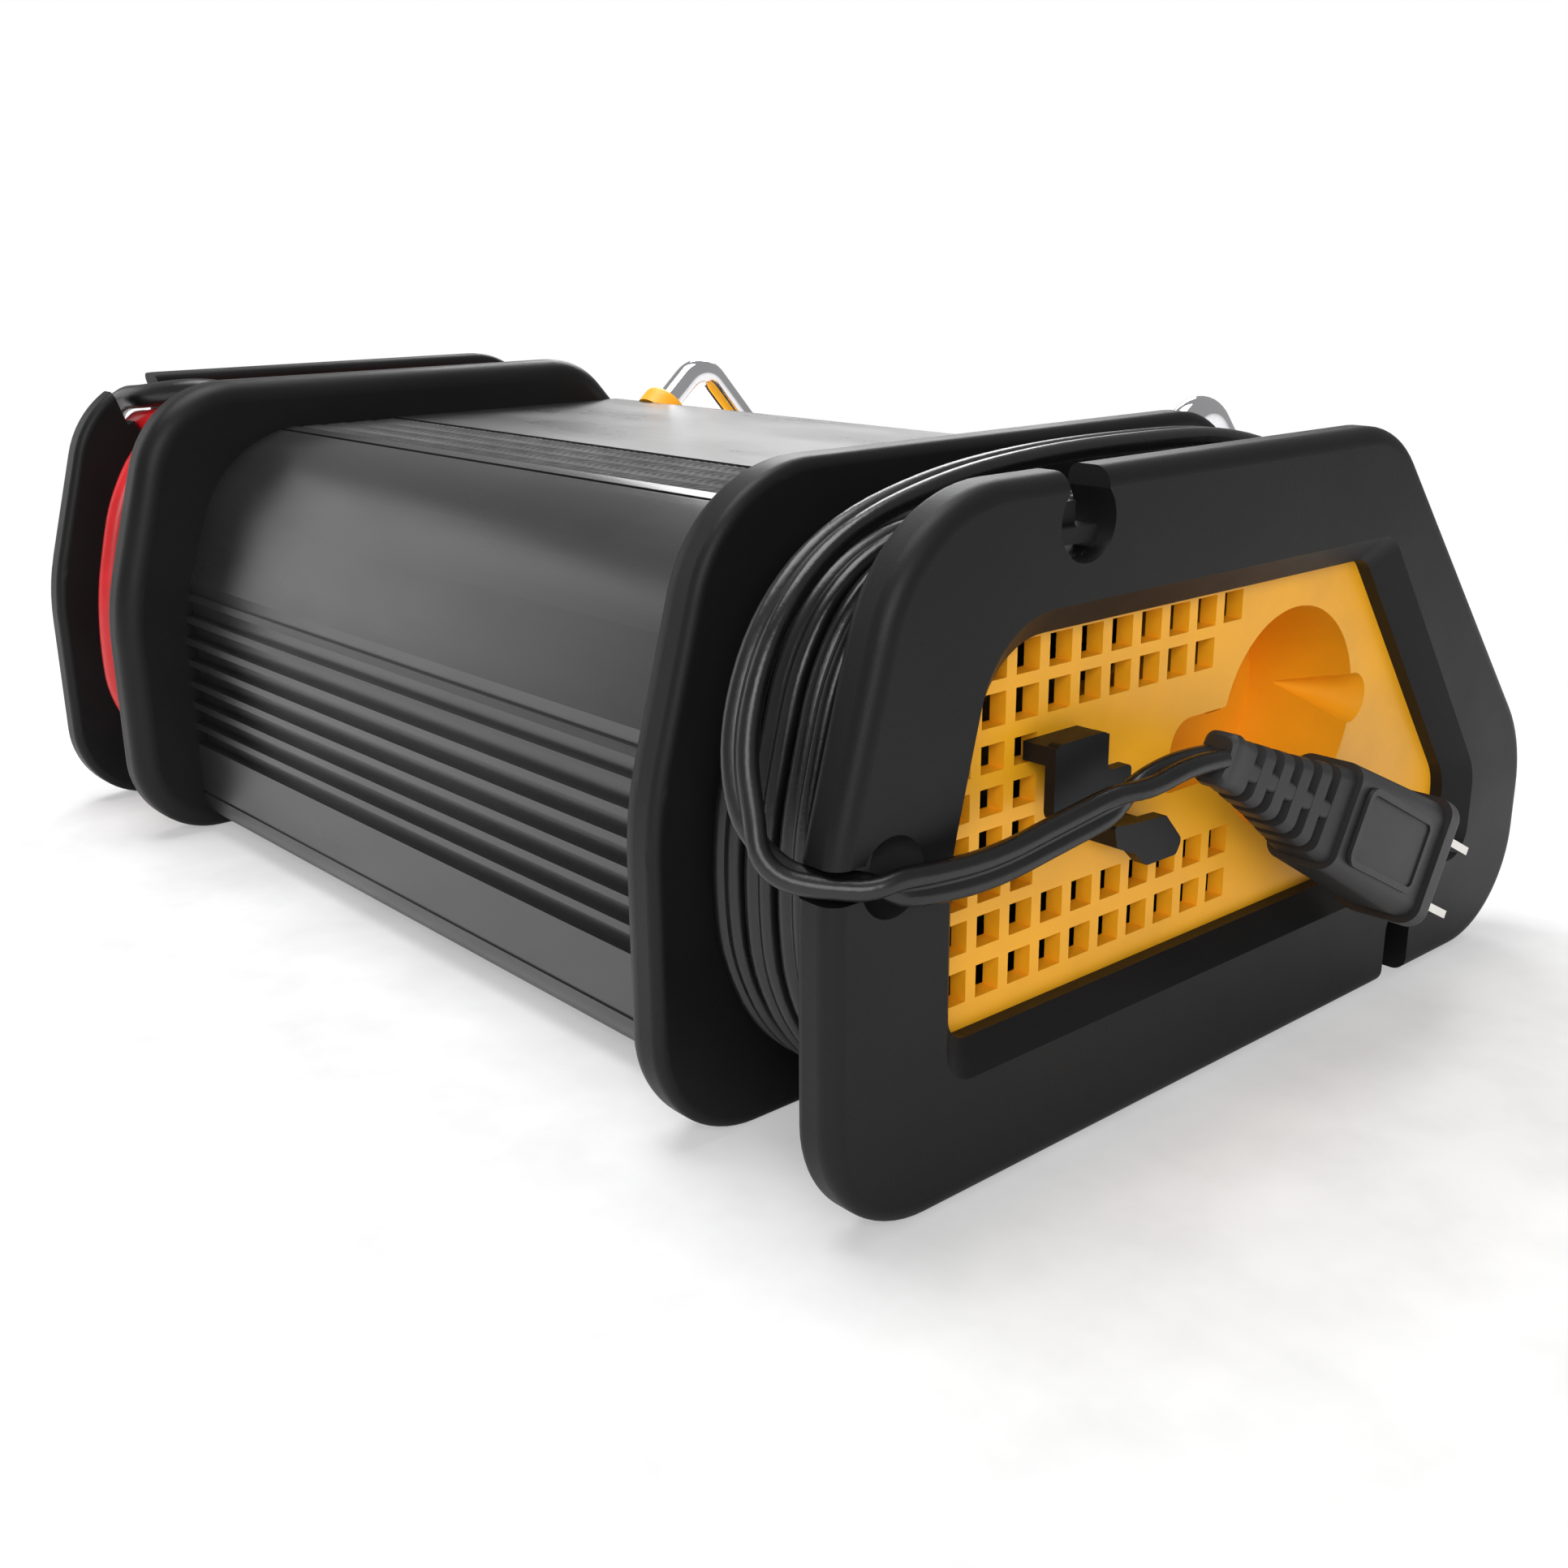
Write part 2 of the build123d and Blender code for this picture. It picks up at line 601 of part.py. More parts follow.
with BuildPart() as main_board:
    with BuildSketch(Plane.XY.offset(BOARD_Z)):
        with Locations((-12, 0)):
            Rectangle(164, 132)
        with Locations(*BOARD_POSTS):
            Circle(1.6, mode=Mode.SUBTRACT)
    extrude(amount=1.6)
save(main_board, "main_board")

with BuildPart() as board_screws:
    for x, y in BOARD_POSTS:
        with BuildSketch(Plane.XY.offset(BOARD_TOP)):
            with Locations((x, y)):
                Circle(3)
        extrude(amount=2)
        with BuildSketch(Plane.XY.offset(BOARD_Z)):
            with Locations((x, y)):
                Circle(1.5)
        extrude(amount=1.6)
save(board_screws, "board_screws")

with BuildPart() as transformer_core:
    with BuildSketch(Plane.XZ.offset(-18)):
        with Locations((-20, BOARD_TOP + 29)):
            Rectangle(70, 58)
            with Locations((-17.5, 0), (17.5, 0)):
                Rectangle(13, 36, mode=Mode.SUBTRACT)
    extrude(amount=36)
save(transformer_core, "transformer_core")

with BuildPart() as transformer_coil:
    with BuildSketch(Plane.XY.offset(BOARD_TOP + 11.2)):
        with Locations((-20, 0)):
            RectangleRounded(47.4, 60, 6)
            Rectangle(22.4, 36.4, mode=Mode.SUBTRACT)
    extrude(amount=35.6)
save(transformer_coil, "transformer_coil")

with BuildPart() as capacitors:
    with BuildSketch(Plane.XY.offset(BOARD_TOP)):
        with Locations((36, 44), (36, 16), (36, -12)):
            Circle(12.5)
    extrude(amount=42)
save(capacitors, "capacitors")

with BuildPart() as heat_sink:
    with BuildSketch(Plane.XZ.offset(50)):
        with Locations((-76, BOARD_TOP + 3)):
            Rectangle(30, 6)
        with Locations(*[(-89 + 6.5 * i, BOARD_TOP + 24) for i in range(5)]):
            Rectangle(2, 40)
    extrude(amount=-100)
save(heat_sink, "heat_sink")

with BuildPart() as choke:
    with Locations(Location((36, -46, BOARD_TOP + 18), (90, 0, 0))):
        Torus(12, 5.5)
save(choke, "choke_coil")

with BuildPart() as terminal_block:
    with Locations((62, -20, BOARD_TOP + 7)):
        Box(14, 40, 14)
    with Locations(*[(62, -35 + 10 * i, BOARD_TOP + 14) for i in range(4)]):
        Cylinder(3, 8, mode=Mode.SUBTRACT)
save(terminal_block, "terminal_block")

with BuildPart() as fuse_holder:
    with Locations((62, 25, BOARD_TOP + 5)):
        Box(10, 28, 10)
    with Locations(Location((62, 25, BOARD_TOP + 10), (90, 0, 0))):
        Cylinder(2.6, 20)
save(fuse_holder, "fuse_holder")

# ---------------------------------------------------------------- windings

with BuildPart() as ac_winding:
    with BuildSketch(Plane.YZ.offset(-PLATE_IN + 0.6)):
        core_outline(AC_CORE_DEPTH - AC_WINDING)
        core_outline(AC_CORE_DEPTH, mode=Mode.SUBTRACT)
    extrude(amount=CHANNEL - 1.2)
save(ac_winding, "ac_cord_winding")


def lead_gap():
    """Clears the upper back corner of a winding, where the leads peel off to their notch."""
    with Locations((FLANGE_OUT + CHANNEL / 2, 67, 100)):
        Box(CHANNEL, 46, 26, mode=Mode.SUBTRACT)


WINDING_SPLIT = FLANGE_OUT + CHANNEL / 2
for name, start, width in (
    ("black_winding", FLANGE_OUT + 0.6, CHANNEL / 2 - 0.8),
    ("red_winding", WINDING_SPLIT, CHANNEL / 2 - 0.8),
):
    with BuildPart() as winding:
        with BuildSketch(Plane.YZ.offset(start)):
            core_outline(DC_CORE_DEPTH - DC_WINDING)
            core_outline(DC_CORE_DEPTH, mode=Mode.SUBTRACT)
        extrude(amount=width)
        lead_gap()
    save(winding, name)

# ---------------------------------------------------------------- cords

AC_ROUTE = [
    (-119, 22, 5.8),
    (-119, -18, 5.4),
    (-119.3, -56, 5.5),
    (-119.7, -78.5, 7.6),
    (-120.2, -91.5, 17.5),
    (-121, -95, 33),
    (-122, -88, 49.5),
    (-123, -69, 71.5),
    (-124, -52, 90),
    (-125, -38.5, 102.2),
    (-126, -16, 108.4),
    (-126.5, 11, 109.3),
    (-127, 36, 109.2),
    (-127.5, 58, 107.3),
    (-128, 79, 102),
    (-129, 92.5, 91.5),
    (-131, 100, 77),
    (-135.2, 102, 65.5),
    (-140.2, 101.2, 59),
    (-145.5, 96.4, 57.6),
    (-151, 90.2, 57.3),
    (-153, 84.5, 56.6),
    (-154, 71.8, 56.2),
    (-154.8, 58.3, 58.6),
    (-156, 48.6, 60.6),
    (-157, 40, 63.2),
    (-157.8, 32, 64.8),
    (-158.1, 25.5, 64.2),
]
RED_ROUTE = [
    (136.2, 44, 101.2),
    (136.4, 54, 101.6),
    (136.4, 62, 100.4),
    (138.2, 67.6, 98.8),
    (141.5, 69.6, 97.8),
    (149.5, 69.4, 97.5),
    (154.5, 70.5, 93),
    (156, 70.8, 84),
    (154.2, 67.8, 73),
    (150, 62, 62),
    (142.5, 59.5, 52),
    (134.5, 57, 43.5),
    (131.2, 50.5, 36.6),
    (131, 43.2, 34.2),
]
BLACK_ROUTE = [
    (121, 44, 101.4),
    (121.6, 53, 104.6),
    (125.6, 60.5, 106.4),
    (132.5, 66.8, 105.8),
    (140.5, 70.7, 104.4),
    (150, 71.6, 103.8),
    (157.6, 73, 100),
    (162, 71.5, 90),
    (161.5, 64.5, 80),
    (154.5, 58, 70.5),
    (142, 57.2, 62.5),
    (130.5, 58, 56),
    (120.5, 60, 47),
    (114, 55.5, 37.5),
    (112, 43.2, 34.2),
]

for name, route, thick in (
    ("ac_cord_lead", AC_ROUTE, AC_CORD),
    ("red_lead", RED_ROUTE, DC_CABLE),
    ("black_lead", BLACK_ROUTE, DC_CABLE),
):
    radii = cord_radii(route)
    with BuildPart() as cord:
        with BuildLine() as way:
            FilletPolyline(*route, radius=radii)
        start = way.wires()[0]
        with BuildSketch(Plane(origin=start @ 0, z_dir=start % 0)):
            Circle(thick / 2)
        sweep(path=start)
    ratio = cord.part.volume / (pi * thick**2 / 4 * start.length)
    print(name, "length", round(start.length, 1), "volume ratio", round(ratio, 4))
    print("  radii", [round(r, 1) for r in radii])
    save(cord, name)

# ---------------------------------------------------------------- plug

PLUG_X = -158.0
PLUG_DIR = Vector(0, -0.886, -0.463).normalized()
PLUG_BACK = Vector(PLUG_X, -4.6, 48.5)


def across_plug(u):
    """A plane across the plug's axis, u along it from the back of its body; local x is the blades' row."""
    return Plane(origin=PLUG_BACK + PLUG_DIR * u, x_dir=(0, -PLUG_DIR.Z, PLUG_DIR.Y), z_dir=PLUG_DIR)


with BuildPart() as plug_body:
    for u, wide, deep in ((0, 19, 13.5), (31, 22, 15)):
        with BuildSketch(across_plug(u)):
            RectangleRounded(wide, deep, 3.2)
    loft()
    with BuildSketch(across_plug(31)):
        RectangleRounded(24, 17, 3.6)
    extrude(amount=4)
    fillet(plug_body.faces().sort_by(Axis(PLUG_BACK, PLUG_DIR))[-1].edges(), 1)
    for side in (-6.35, 6.35):
        with BuildSketch(across_plug(28)):
            with Locations((side, 0)):
                Rectangle(1.5, 6.35)
        extrude(amount=7, mode=Mode.SUBTRACT)
save(plug_body, "plug_body")

with BuildPart() as plug_blades:
    for side in (-6.35, 6.35):
        with BuildSketch(across_plug(28)):
            with Locations((side, 0)):
                Rectangle(1.5, 6.35)
        extrude(amount=7 + 17.5)
    for side in (-6.35, 6.35):
        with Locations(
            Location(
                Plane(
                    origin=PLUG_BACK + PLUG_DIR * 48 + Vector(0, -PLUG_DIR.Z, PLUG_DIR.Y) * side,
                    z_dir=(0, -PLUG_DIR.Z, PLUG_DIR.Y),
                )
            )
        ):
            Cylinder(1.5, 4, mode=Mode.SUBTRACT)
save(plug_blades, "plug_blades")

with BuildPart() as plug_relief:
    for u, wide, deep in ((-34, 7.6, 5.6), (-16, 12, 8.4), (0, 17, 11.5)):
        with BuildSketch(across_plug(u)):
            RectangleRounded(wide, deep, 2.4)
    loft(ruled=True)
save(plug_relief, "plug_strain_relief")

# ---------------------------------------------------------------- battery clamps

PIVOT_Y, PIVOT_Z = 0.0, 50.0
CLAMP_WIDE = 14.0
PIN_R = 1.5
LOWER = [(-38, -1.8), (-36.5, -6.5), (-12, -9), (2, -8.5), (42, -20), (43, -12.5), (6, -3.6),
         (-8, -3.6), (-13, -1.8)]
LOWER_RADII = [0.5, 2, 8, 12, 2, 2, 4, 2, 0.5]


def clamp_profile(upper):
    """The side view of one half; the upper half is the lower one turned over."""
    flip = 1 if upper else -1
    points = [(PIVOT_Y + u, PIVOT_Z - flip * w) for u, w in LOWER]
    order = slice(None, None, 1 if not upper else -1)
    outline(points[order], LOWER_RADII[order])


for colour, centre in (("red", 131.0), ("black", 112.0)):
    low = centre - CLAMP_WIDE / 2
    with BuildPart() as fixed_half:
        with BuildSketch(Plane.YZ.offset(low)):
            clamp_profile(False)
        extrude(amount=CLAMP_WIDE)
        with BuildSketch(Plane.YZ.offset(low)):
            with Locations((PIVOT_Y, PIVOT_Z - 3.5)):
                Rectangle(11, 5)
            with Locations((PIVOT_Y, PIVOT_Z)):
                Circle(6)
                Circle(PIN_R, mode=Mode.SUBTRACT)
        extrude(amount=1.6)
        with BuildSketch(Plane.YZ.offset(low + CLAMP_WIDE - 1.6)):
            with Locations((PIVOT_Y, PIVOT_Z - 3.5)):
                Rectangle(11, 5)
            with Locations((PIVOT_Y, PIVOT_Z)):
                Circle(6)
                Circle(PIN_R, mode=Mode.SUBTRACT)
        extrude(amount=1.6)
        # bore for the end of the lead
        with BuildSketch(Plane.XZ.offset(-43.2)):
            with Locations((centre, 34.2)):
                Circle(3.0)
        extrude(amount=0.8, mode=Mode.SUBTRACT)
    save(fixed_half, f"{colour}_clamp_fixed")

    with BuildPart() as moving_half:
        with BuildSketch(Plane.YZ.offset(low)):
            clamp_profile(True)
        extrude(amount=CLAMP_WIDE)
        # room for the fixed half's ears
        with BuildSketch(Plane.YZ.offset(low)):
            with Locations((PIVOT_Y, PIVOT_Z)):
                Circle(6.5)
        extrude(amount=1.9, mode=Mode.SUBTRACT)
        with BuildSketch(Plane.YZ.offset(low + CLAMP_WIDE - 1.9)):
            with Locations((PIVOT_Y, PIVOT_Z)):
                Circle(6.5)
        extrude(amount=1.9, mode=Mode.SUBTRACT)
        for x in (low + 2.1, low + CLAMP_WIDE - 3.7):
            with BuildSketch(Plane.YZ.offset(x)):
                with Locations((PIVOT_Y, PIVOT_Z + 2.5)):
                    Rectangle(7.6, 6)
                with Locations((PIVOT_Y, PIVOT_Z)):
                    Circle(3.3)
                    Circle(PIN_R + 0.05, mode=Mode.SUBTRACT)
            extrude(amount=1.6)
    save(moving_half, f"{colour}_clamp_moving")

    with BuildPart() as pin:
        with BuildSketch(Plane.YZ.offset(low)):
            with Locations((PIVOT_Y, PIVOT_Z)):
                Circle(PIN_R)
        extrude(amount=CLAMP_WIDE)
        for x in (low - 1, low + CLAMP_WIDE):
            with BuildSketch(Plane.YZ.offset(x)):
                with Locations((PIVOT_Y, PIVOT_Z)):
                    Circle(2.6)
            extrude(amount=1)
    save(pin, f"{colour}_clamp_pin")

    with BuildPart() as spring:
        with BuildSketch(Plane.YZ.offset(low + 4.2)):
            with Locations((PIVOT_Y, PIVOT_Z)):
                Circle(3.2)
                Circle(2.0, mode=Mode.SUBTRACT)
        extrude(amount=CLAMP_WIDE - 8.4)
    save(spring, f"{colour}_clamp_spring")
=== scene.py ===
"""Car battery charger: the looks of its pieces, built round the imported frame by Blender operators."""

from math import atan2, cos, degrees, pi, radians, sin

import bmesh
import bpy
from bpy.props import FloatProperty, FloatVectorProperty, IntProperty, PointerProperty
from mathutils import Matrix, Vector


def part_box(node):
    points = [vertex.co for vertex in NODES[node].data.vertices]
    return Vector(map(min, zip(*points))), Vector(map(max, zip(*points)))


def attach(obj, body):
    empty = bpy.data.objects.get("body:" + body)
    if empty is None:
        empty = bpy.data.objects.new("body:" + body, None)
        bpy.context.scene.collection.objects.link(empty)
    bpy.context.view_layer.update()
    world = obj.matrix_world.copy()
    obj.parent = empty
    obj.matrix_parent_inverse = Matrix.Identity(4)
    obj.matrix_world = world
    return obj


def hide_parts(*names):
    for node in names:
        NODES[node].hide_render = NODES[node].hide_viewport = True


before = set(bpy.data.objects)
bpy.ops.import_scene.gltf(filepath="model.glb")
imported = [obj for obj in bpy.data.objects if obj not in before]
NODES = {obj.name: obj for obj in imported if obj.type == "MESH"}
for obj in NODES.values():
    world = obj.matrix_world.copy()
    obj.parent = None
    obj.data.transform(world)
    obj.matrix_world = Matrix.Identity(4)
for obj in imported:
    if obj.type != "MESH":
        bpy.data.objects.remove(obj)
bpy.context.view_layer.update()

bl_info = {
    "name": "Car battery charger",
    "version": (1, 0, 0),
    "blender": (4, 5, 0),
    "location": "3D View > Sidebar > Charger",
    "description": "Builds a bench battery charger with two cord reels around its packed frame",
    "category": "Object",
}

MM = 0.001

# Levels that the pieces share, all read from the frame
PLATE_IN_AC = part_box("ac_end_plate")[1].x
FLANGE_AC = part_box("ac_cord_winding")[1].x + 0.6 * MM
REEL_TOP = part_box("ac_end_plate")[1].z
MID_Z = REEL_TOP / 2


# ---------------------------------------------------------------- settings


class ChargerSizes(bpy.types.PropertyGroup):
    """Sizes that a user would change."""

    cord_width: FloatProperty(
        name="Mains cord width", description="Width of the flat two-core cord",
        default=0.0064, unit="LENGTH")
    cord_thick: FloatProperty(
        name="Mains cord thickness", description="Thickness of the flat two-core cord",
        default=0.0033, unit="LENGTH")
    lead_diameter: FloatProperty(
        name="Battery lead diameter", description="Diameter of the red and black battery leads",
        default=0.006, unit="LENGTH")
    turns: IntProperty(
        name="Turns", description="Whole turns of each cord on its reel", default=4, min=1, max=6)
    grip_pitch: FloatProperty(
        name="Grip pitch", description="Distance between the ridges of the grip strip",
        default=0.0024, unit="LENGTH")


class ChargerColours(bpy.types.PropertyGroup):
    """Colours that a user would change, in linear light."""

    yellow: FloatVectorProperty(
        name="Yellow", description="Moulded yellow plastic",
        default=(1.0, 0.455, 0.012), subtype="COLOR")
    black: FloatVectorProperty(
        name="Black", description="Moulded black plastic",
        default=(0.008, 0.008, 0.0084), subtype="COLOR")
    anodised: FloatVectorProperty(
        name="Anodised", description="Black anodised aluminium",
        default=(0.014, 0.014, 0.0148), subtype="COLOR")
    cord: FloatVectorProperty(
        name="Cord", description="Black cord sheath", default=(0.0065, 0.0065, 0.007), subtype="COLOR")
    red: FloatVectorProperty(
        name="Red", description="Red lead and clamp", default=(0.62, 0.012, 0.016), subtype="COLOR")


SETTINGS = (ChargerSizes, ChargerColours)


def sizes():
    return bpy.context.scene.charger_sizes


def colours():
    return bpy.context.scene.charger_colours


# ---------------------------------------------------------------- shader groups


def new_group(name, inputs, outputs):
    """A shader node group with these sockets; returns it with its input and output nodes."""
    tree = bpy.data.node_groups.new(name, "ShaderNodeTree")
    for label, kind, value in inputs:
        socket = tree.interface.new_socket(label, in_out="INPUT", socket_type=kind)
        socket.default_value = value
    for label, kind in outputs:
        tree.interface.new_socket(label, in_out="OUTPUT", socket_type=kind)
    return tree, tree.nodes.new("NodeGroupInput"), tree.nodes.new("NodeGroupOutput")


def node(tree, kind, **values):
    """A node with its properties set."""
    made = tree.nodes.new(kind)
    for key, value in values.items():
        setattr(made, key, value)
    return made


def link(tree, start, end):
    tree.links.new(start, end)


def place(tree, stretch=(1, 1, 1)):
    """Object coordinates, stretched; returns the vector socket."""
    where = node(tree, "ShaderNodeTexCoord")
    mapping = node(tree, "ShaderNodeMapping")
    mapping.inputs["Scale"].default_value = stretch
    link(tree, where.outputs["Object"], mapping.inputs["Vector"])
    return mapping.outputs["Vector"]


def noise(tree, vector, scale, detail=3.0, rough=0.55):
    """A noise texture; returns its value socket."""
    made = node(tree, "ShaderNodeTexNoise")
    made.inputs["Scale"].default_value = scale
    made.inputs["Detail"].default_value = detail
    made.inputs["Roughness"].default_value = rough
    link(tree, vector, made.inputs["Vector"])
    return made.outputs["Fac"]


def spread(tree, value, low, high, from_low=0.3, from_high=0.7):
    """A value mapped from one range to another; low and high may be sockets."""
    ramp = node(tree, "ShaderNodeMapRange")
    ramp.inputs["From Min"].default_value = from_low
    ramp.inputs["From Max"].default_value = from_high
    link(tree, value, ramp.inputs["Value"])
    for end, key in ((low, "To Min"), (high, "To Max")):
        if isinstance(end, bpy.types.NodeSocket):
            link(tree, end, ramp.inputs[key])
        else:
            ramp.inputs[key].default_value = end
    return ramp.outputs["Result"]


def shade(tree, colour, factor):
    """The colour multiplied by a grey factor."""
    scale = node(tree, "ShaderNodeVectorMath", operation="SCALE")
    link(tree, colour, scale.inputs[0])
    link(tree, factor, scale.inputs["Scale"])
    return scale.outputs["Vector"]


def bumps(tree, height, depth, normal=None):
    """A bump of this depth; returns its normal socket."""
    bump = node(tree, "ShaderNodeBump")
    bump.inputs["Distance"].default_value = MM
    link(tree, height, bump.inputs["Height"])
    link(tree, depth, bump.inputs["Strength"])
    if normal is not None:
        link(tree, normal, bump.inputs["Normal"])
    return bump.outputs["Normal"]


def surface_group(name, build):
    """A group with the usual surface sockets, filled in by build(tree, given)."""
    tree, given, out = new_group(
        name,
        [("Colour", "NodeSocketColor", (0.5, 0.5, 0.5, 1)), ("Roughness", "NodeSocketFloat", 0.5),
         ("Variation", "NodeSocketFloat", 0.08), ("Depth", "NodeSocketFloat", 0.1)],
        [("Colour", "NodeSocketColor"), ("Roughness", "NodeSocketFloat"), ("Normal", "NodeSocketVector")],
    )
    for key, socket in zip(("Colour", "Roughness", "Normal"), build(tree, given)):
        link(tree, socket, out.inputs[key])
    return tree


def more(tree, value, extra):
    """The sum of two sockets."""
    total = node(tree, "ShaderNodeMath", operation="ADD")
    link(tree, value, total.inputs[0])
    link(tree, extra, total.inputs[1])
    return total.outputs[0]


def less(tree, value, take):
    """The difference of two sockets."""
    total = node(tree, "ShaderNodeMath", operation="SUBTRACT")
    link(tree, value, total.inputs[0])
    link(tree, take, total.inputs[1])
    return total.outputs[0]


def varied(tree, given, patches, grain, tone=(0.86, 1.12)):
    """Colour and roughness that drift with broad patches, and a bump from a fine grain."""
    colour = shade(tree, given.outputs["Colour"], spread(tree, patches, *tone))
    low = less(tree, given.outputs["Roughness"], given.outputs["Variation"])
    high = more(tree, given.outputs["Roughness"], given.outputs["Variation"])
    rough = spread(tree, patches, low, high)
    return colour, rough, bumps(tree, grain, given.outputs["Depth"])


def moulded_grain(tree, given):
    """Spark-eroded plastic: a fine even grain with faint broad patches of wear."""
    here = place(tree)
    return varied(tree, given, noise(tree, here, 38, 4), noise(tree, here, 2600, 2), (0.9, 1.1))


def drawn_lines(tree, given):
    """Extruded metal: hair lines along X under a soft anodised skin."""
    lines = noise(tree, place(tree, (6, 900, 900)), 1.6, 2)
    return varied(tree, given, noise(tree, place(tree, (1, 3, 3)), 16, 3), lines, (0.85, 1.15))


def handled_gloss(tree, given):
    """A polished surface with faint smears."""
    here = place(tree)
    return varied(tree, given, noise(tree, here, 60, 5), noise(tree, here, 420, 2), (0.96, 1.04))


def cord_sheath(tree, given):
    """Soft vinyl: slow waves along the cord with a little bloom."""
    here = place(tree)
    return varied(tree, given, noise(tree, here, 55, 4), noise(tree, here, 900, 3), (0.8, 1.25))


GROUPS = {}


def group(build):
    """The shader group that this function describes, built once."""
    if build.__name__ not in GROUPS:
        GROUPS[build.__name__] = surface_group(build.__name__, build)
    return GROUPS[build.__name__]


def material(name, build, colour, roughness, variation=0.06, depth=0.1, **shader):
    """A Principled material whose colour, roughness and normal come from a shader group."""
    made = bpy.data.materials.get(name)
    if made is not None:
        return made
    made = bpy.data.materials.new(name)
    made.use_nodes = True
    tree = made.node_tree
    principled = tree.nodes["Principled BSDF"]
    surface = node(tree, "ShaderNodeGroup", node_tree=group(build))
    surface.inputs["Colour"].default_value = (*colour, 1)
    surface.inputs["Roughness"].default_value = roughness
    surface.inputs["Variation"].default_value = variation
    surface.inputs["Depth"].default_value = depth
    link(tree, surface.outputs["Colour"], principled.inputs["Base Color"])
    link(tree, surface.outputs["Roughness"], principled.inputs["Roughness"])
    link(tree, surface.outputs["Normal"], principled.inputs["Normal"])
    for key, value in shader.items():
        principled.inputs[key.replace("_", " ")].default_value = value
    return made


def satin_black():
    return material("satin_black", moulded_grain, colours().black, 0.46, 0.05, 0.05,
                    Specular_IOR_Level=0.22)


def soft_grip():
    return material("soft_grip", moulded_grain, (0.012, 0.012, 0.0125), 0.62, 0.06, 0.05,
                    Specular_IOR_Level=0.3)


def mark_grey():
    return material("mark_grey", moulded_grain, (0.42, 0.42, 0.43), 0.5, 0.04, 0.02)


def orange_yellow():
    return material("orange_yellow", moulded_grain, colours().yellow, 0.42, 0.04, 0.03)


def anodised_black():
    return material("anodised_black", drawn_lines, colours().anodised, 0.3, 0.05, 0.02,
                    Specular_IOR_Level=0.9)


def black_sheath():
    return material("black_sheath", cord_sheath, colours().cord, 0.3, 0.08, 0.05)


def red_sheath():
    return material("red_sheath", cord_sheath, colours().red, 0.36, 0.06, 0.04)


def chrome_plate():
    return material("chrome_plate", handled_gloss, (0.8, 0.8, 0.82), 0.07, 0.03, 0.01, Metallic=1.0)


def nickel_plate():
    return material("nickel_plate", handled_gloss, (0.72, 0.7, 0.66), 0.16, 0.05, 0.02, Metallic=1.0)


def plug_vinyl():
    return material("plug_vinyl", moulded_grain, (0.016, 0.016, 0.017), 0.46, 0.05, 0.05)


def clamp_red():
    return material("clamp_red", moulded_grain, colours().red, 0.36, 0.05, 0.04)


def clamp_black():
    return material("clamp_black", moulded_grain, colours().black, 0.36, 0.05, 0.04)


def copper():
    return material("copper", drawn_lines, (0.72, 0.3, 0.15), 0.28, 0.06, 0.03, Metallic=1.0)


def zinc():
    return material("zinc", handled_gloss, (0.58, 0.58, 0.6), 0.3, 0.08, 0.03, Metallic=1.0)


def board_green():
    return material("board_green", moulded_grain, (0.02, 0.16, 0.06), 0.4, 0.05, 0.03)


def laminations():
    return material("laminations", drawn_lines, (0.3, 0.3, 0.32), 0.42, 0.06, 0.06, Metallic=1.0)


def aluminium():
    return material("aluminium", drawn_lines, (0.72, 0.73, 0.75), 0.32, 0.06, 0.03, Metallic=1.0)


def sleeve_blue():
    return material("sleeve_blue", handled_gloss, (0.02, 0.025, 0.09), 0.3, 0.05, 0.01)


def brass():
    return material("brass", drawn_lines, (0.72, 0.52, 0.2), 0.3, 0.05, 0.02, Metallic=1.0)


def smoked_window():
    return material("smoked_window", handled_gloss, (0.012, 0.014, 0.014), 0.08, 0.03, 0.0, Coat_Weight=0.6)


def light_pipe():
    return material("light_pipe", handled_gloss, (0.55, 0.62, 0.56), 0.2, 0.05, 0.01)


def key_grey():
    return material("key_grey", moulded_grain, (0.16, 0.16, 0.17), 0.5, 0.05, 0.06)


def display_grey():
    return material("display_grey", handled_gloss, (0.2, 0.25, 0.18), 0.25, 0.04, 0.01)


# ---------------------------------------------------------------- mesh helpers


def finish_nodes(look, *names):
    """Gives CAD nodes a material in every slot."""
    for name in names:
        mesh = NODES[name].data
        mesh.materials.clear()
        mesh.materials.append(look)


def add_piece(name, mesh_or_curve, body, look):
    """A new piece: an object at the origin that rides on a body."""
    piece = bpy.data.objects.new(name, mesh_or_curve)
    bpy.context.scene.collection.objects.link(piece)
    piece.data.materials.append(look)
    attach(piece, body)
    return piece


def to_piece(bm, name, body, look, smooth=35):
    """A new piece from a bmesh, shaded smooth up to an angle in degrees."""
    bmesh.ops.recalc_face_normals(bm, faces=bm.faces)
    mesh = bpy.data.meshes.new(name)
    bm.to_mesh(mesh)
    bm.free()
    if smooth:
        mesh.shade_smooth()
        mesh.set_sharp_from_angle(angle=radians(smooth))
    return add_piece(name, mesh, body, look)


def open_spline(name, points, radius=0.0):
    """An open NURBS curve through a route's control points, as a tube if it has a radius."""
    curve = bpy.data.curves.new(name, "CURVE")
    curve.dimensions = "3D"
    spline = curve.splines.new("NURBS")
    spline.points.add(len(points) - 1)
    for control, point in zip(spline.points, points):
        control.co = (*point, 1)
    spline.order_u = 3
    spline.use_endpoint_u = True
    spline.resolution_u = 6
    spline.use_smooth = True
    curve.bevel_depth = radius
    curve.bevel_resolution = 4
    curve.use_fill_caps = True
    return curve


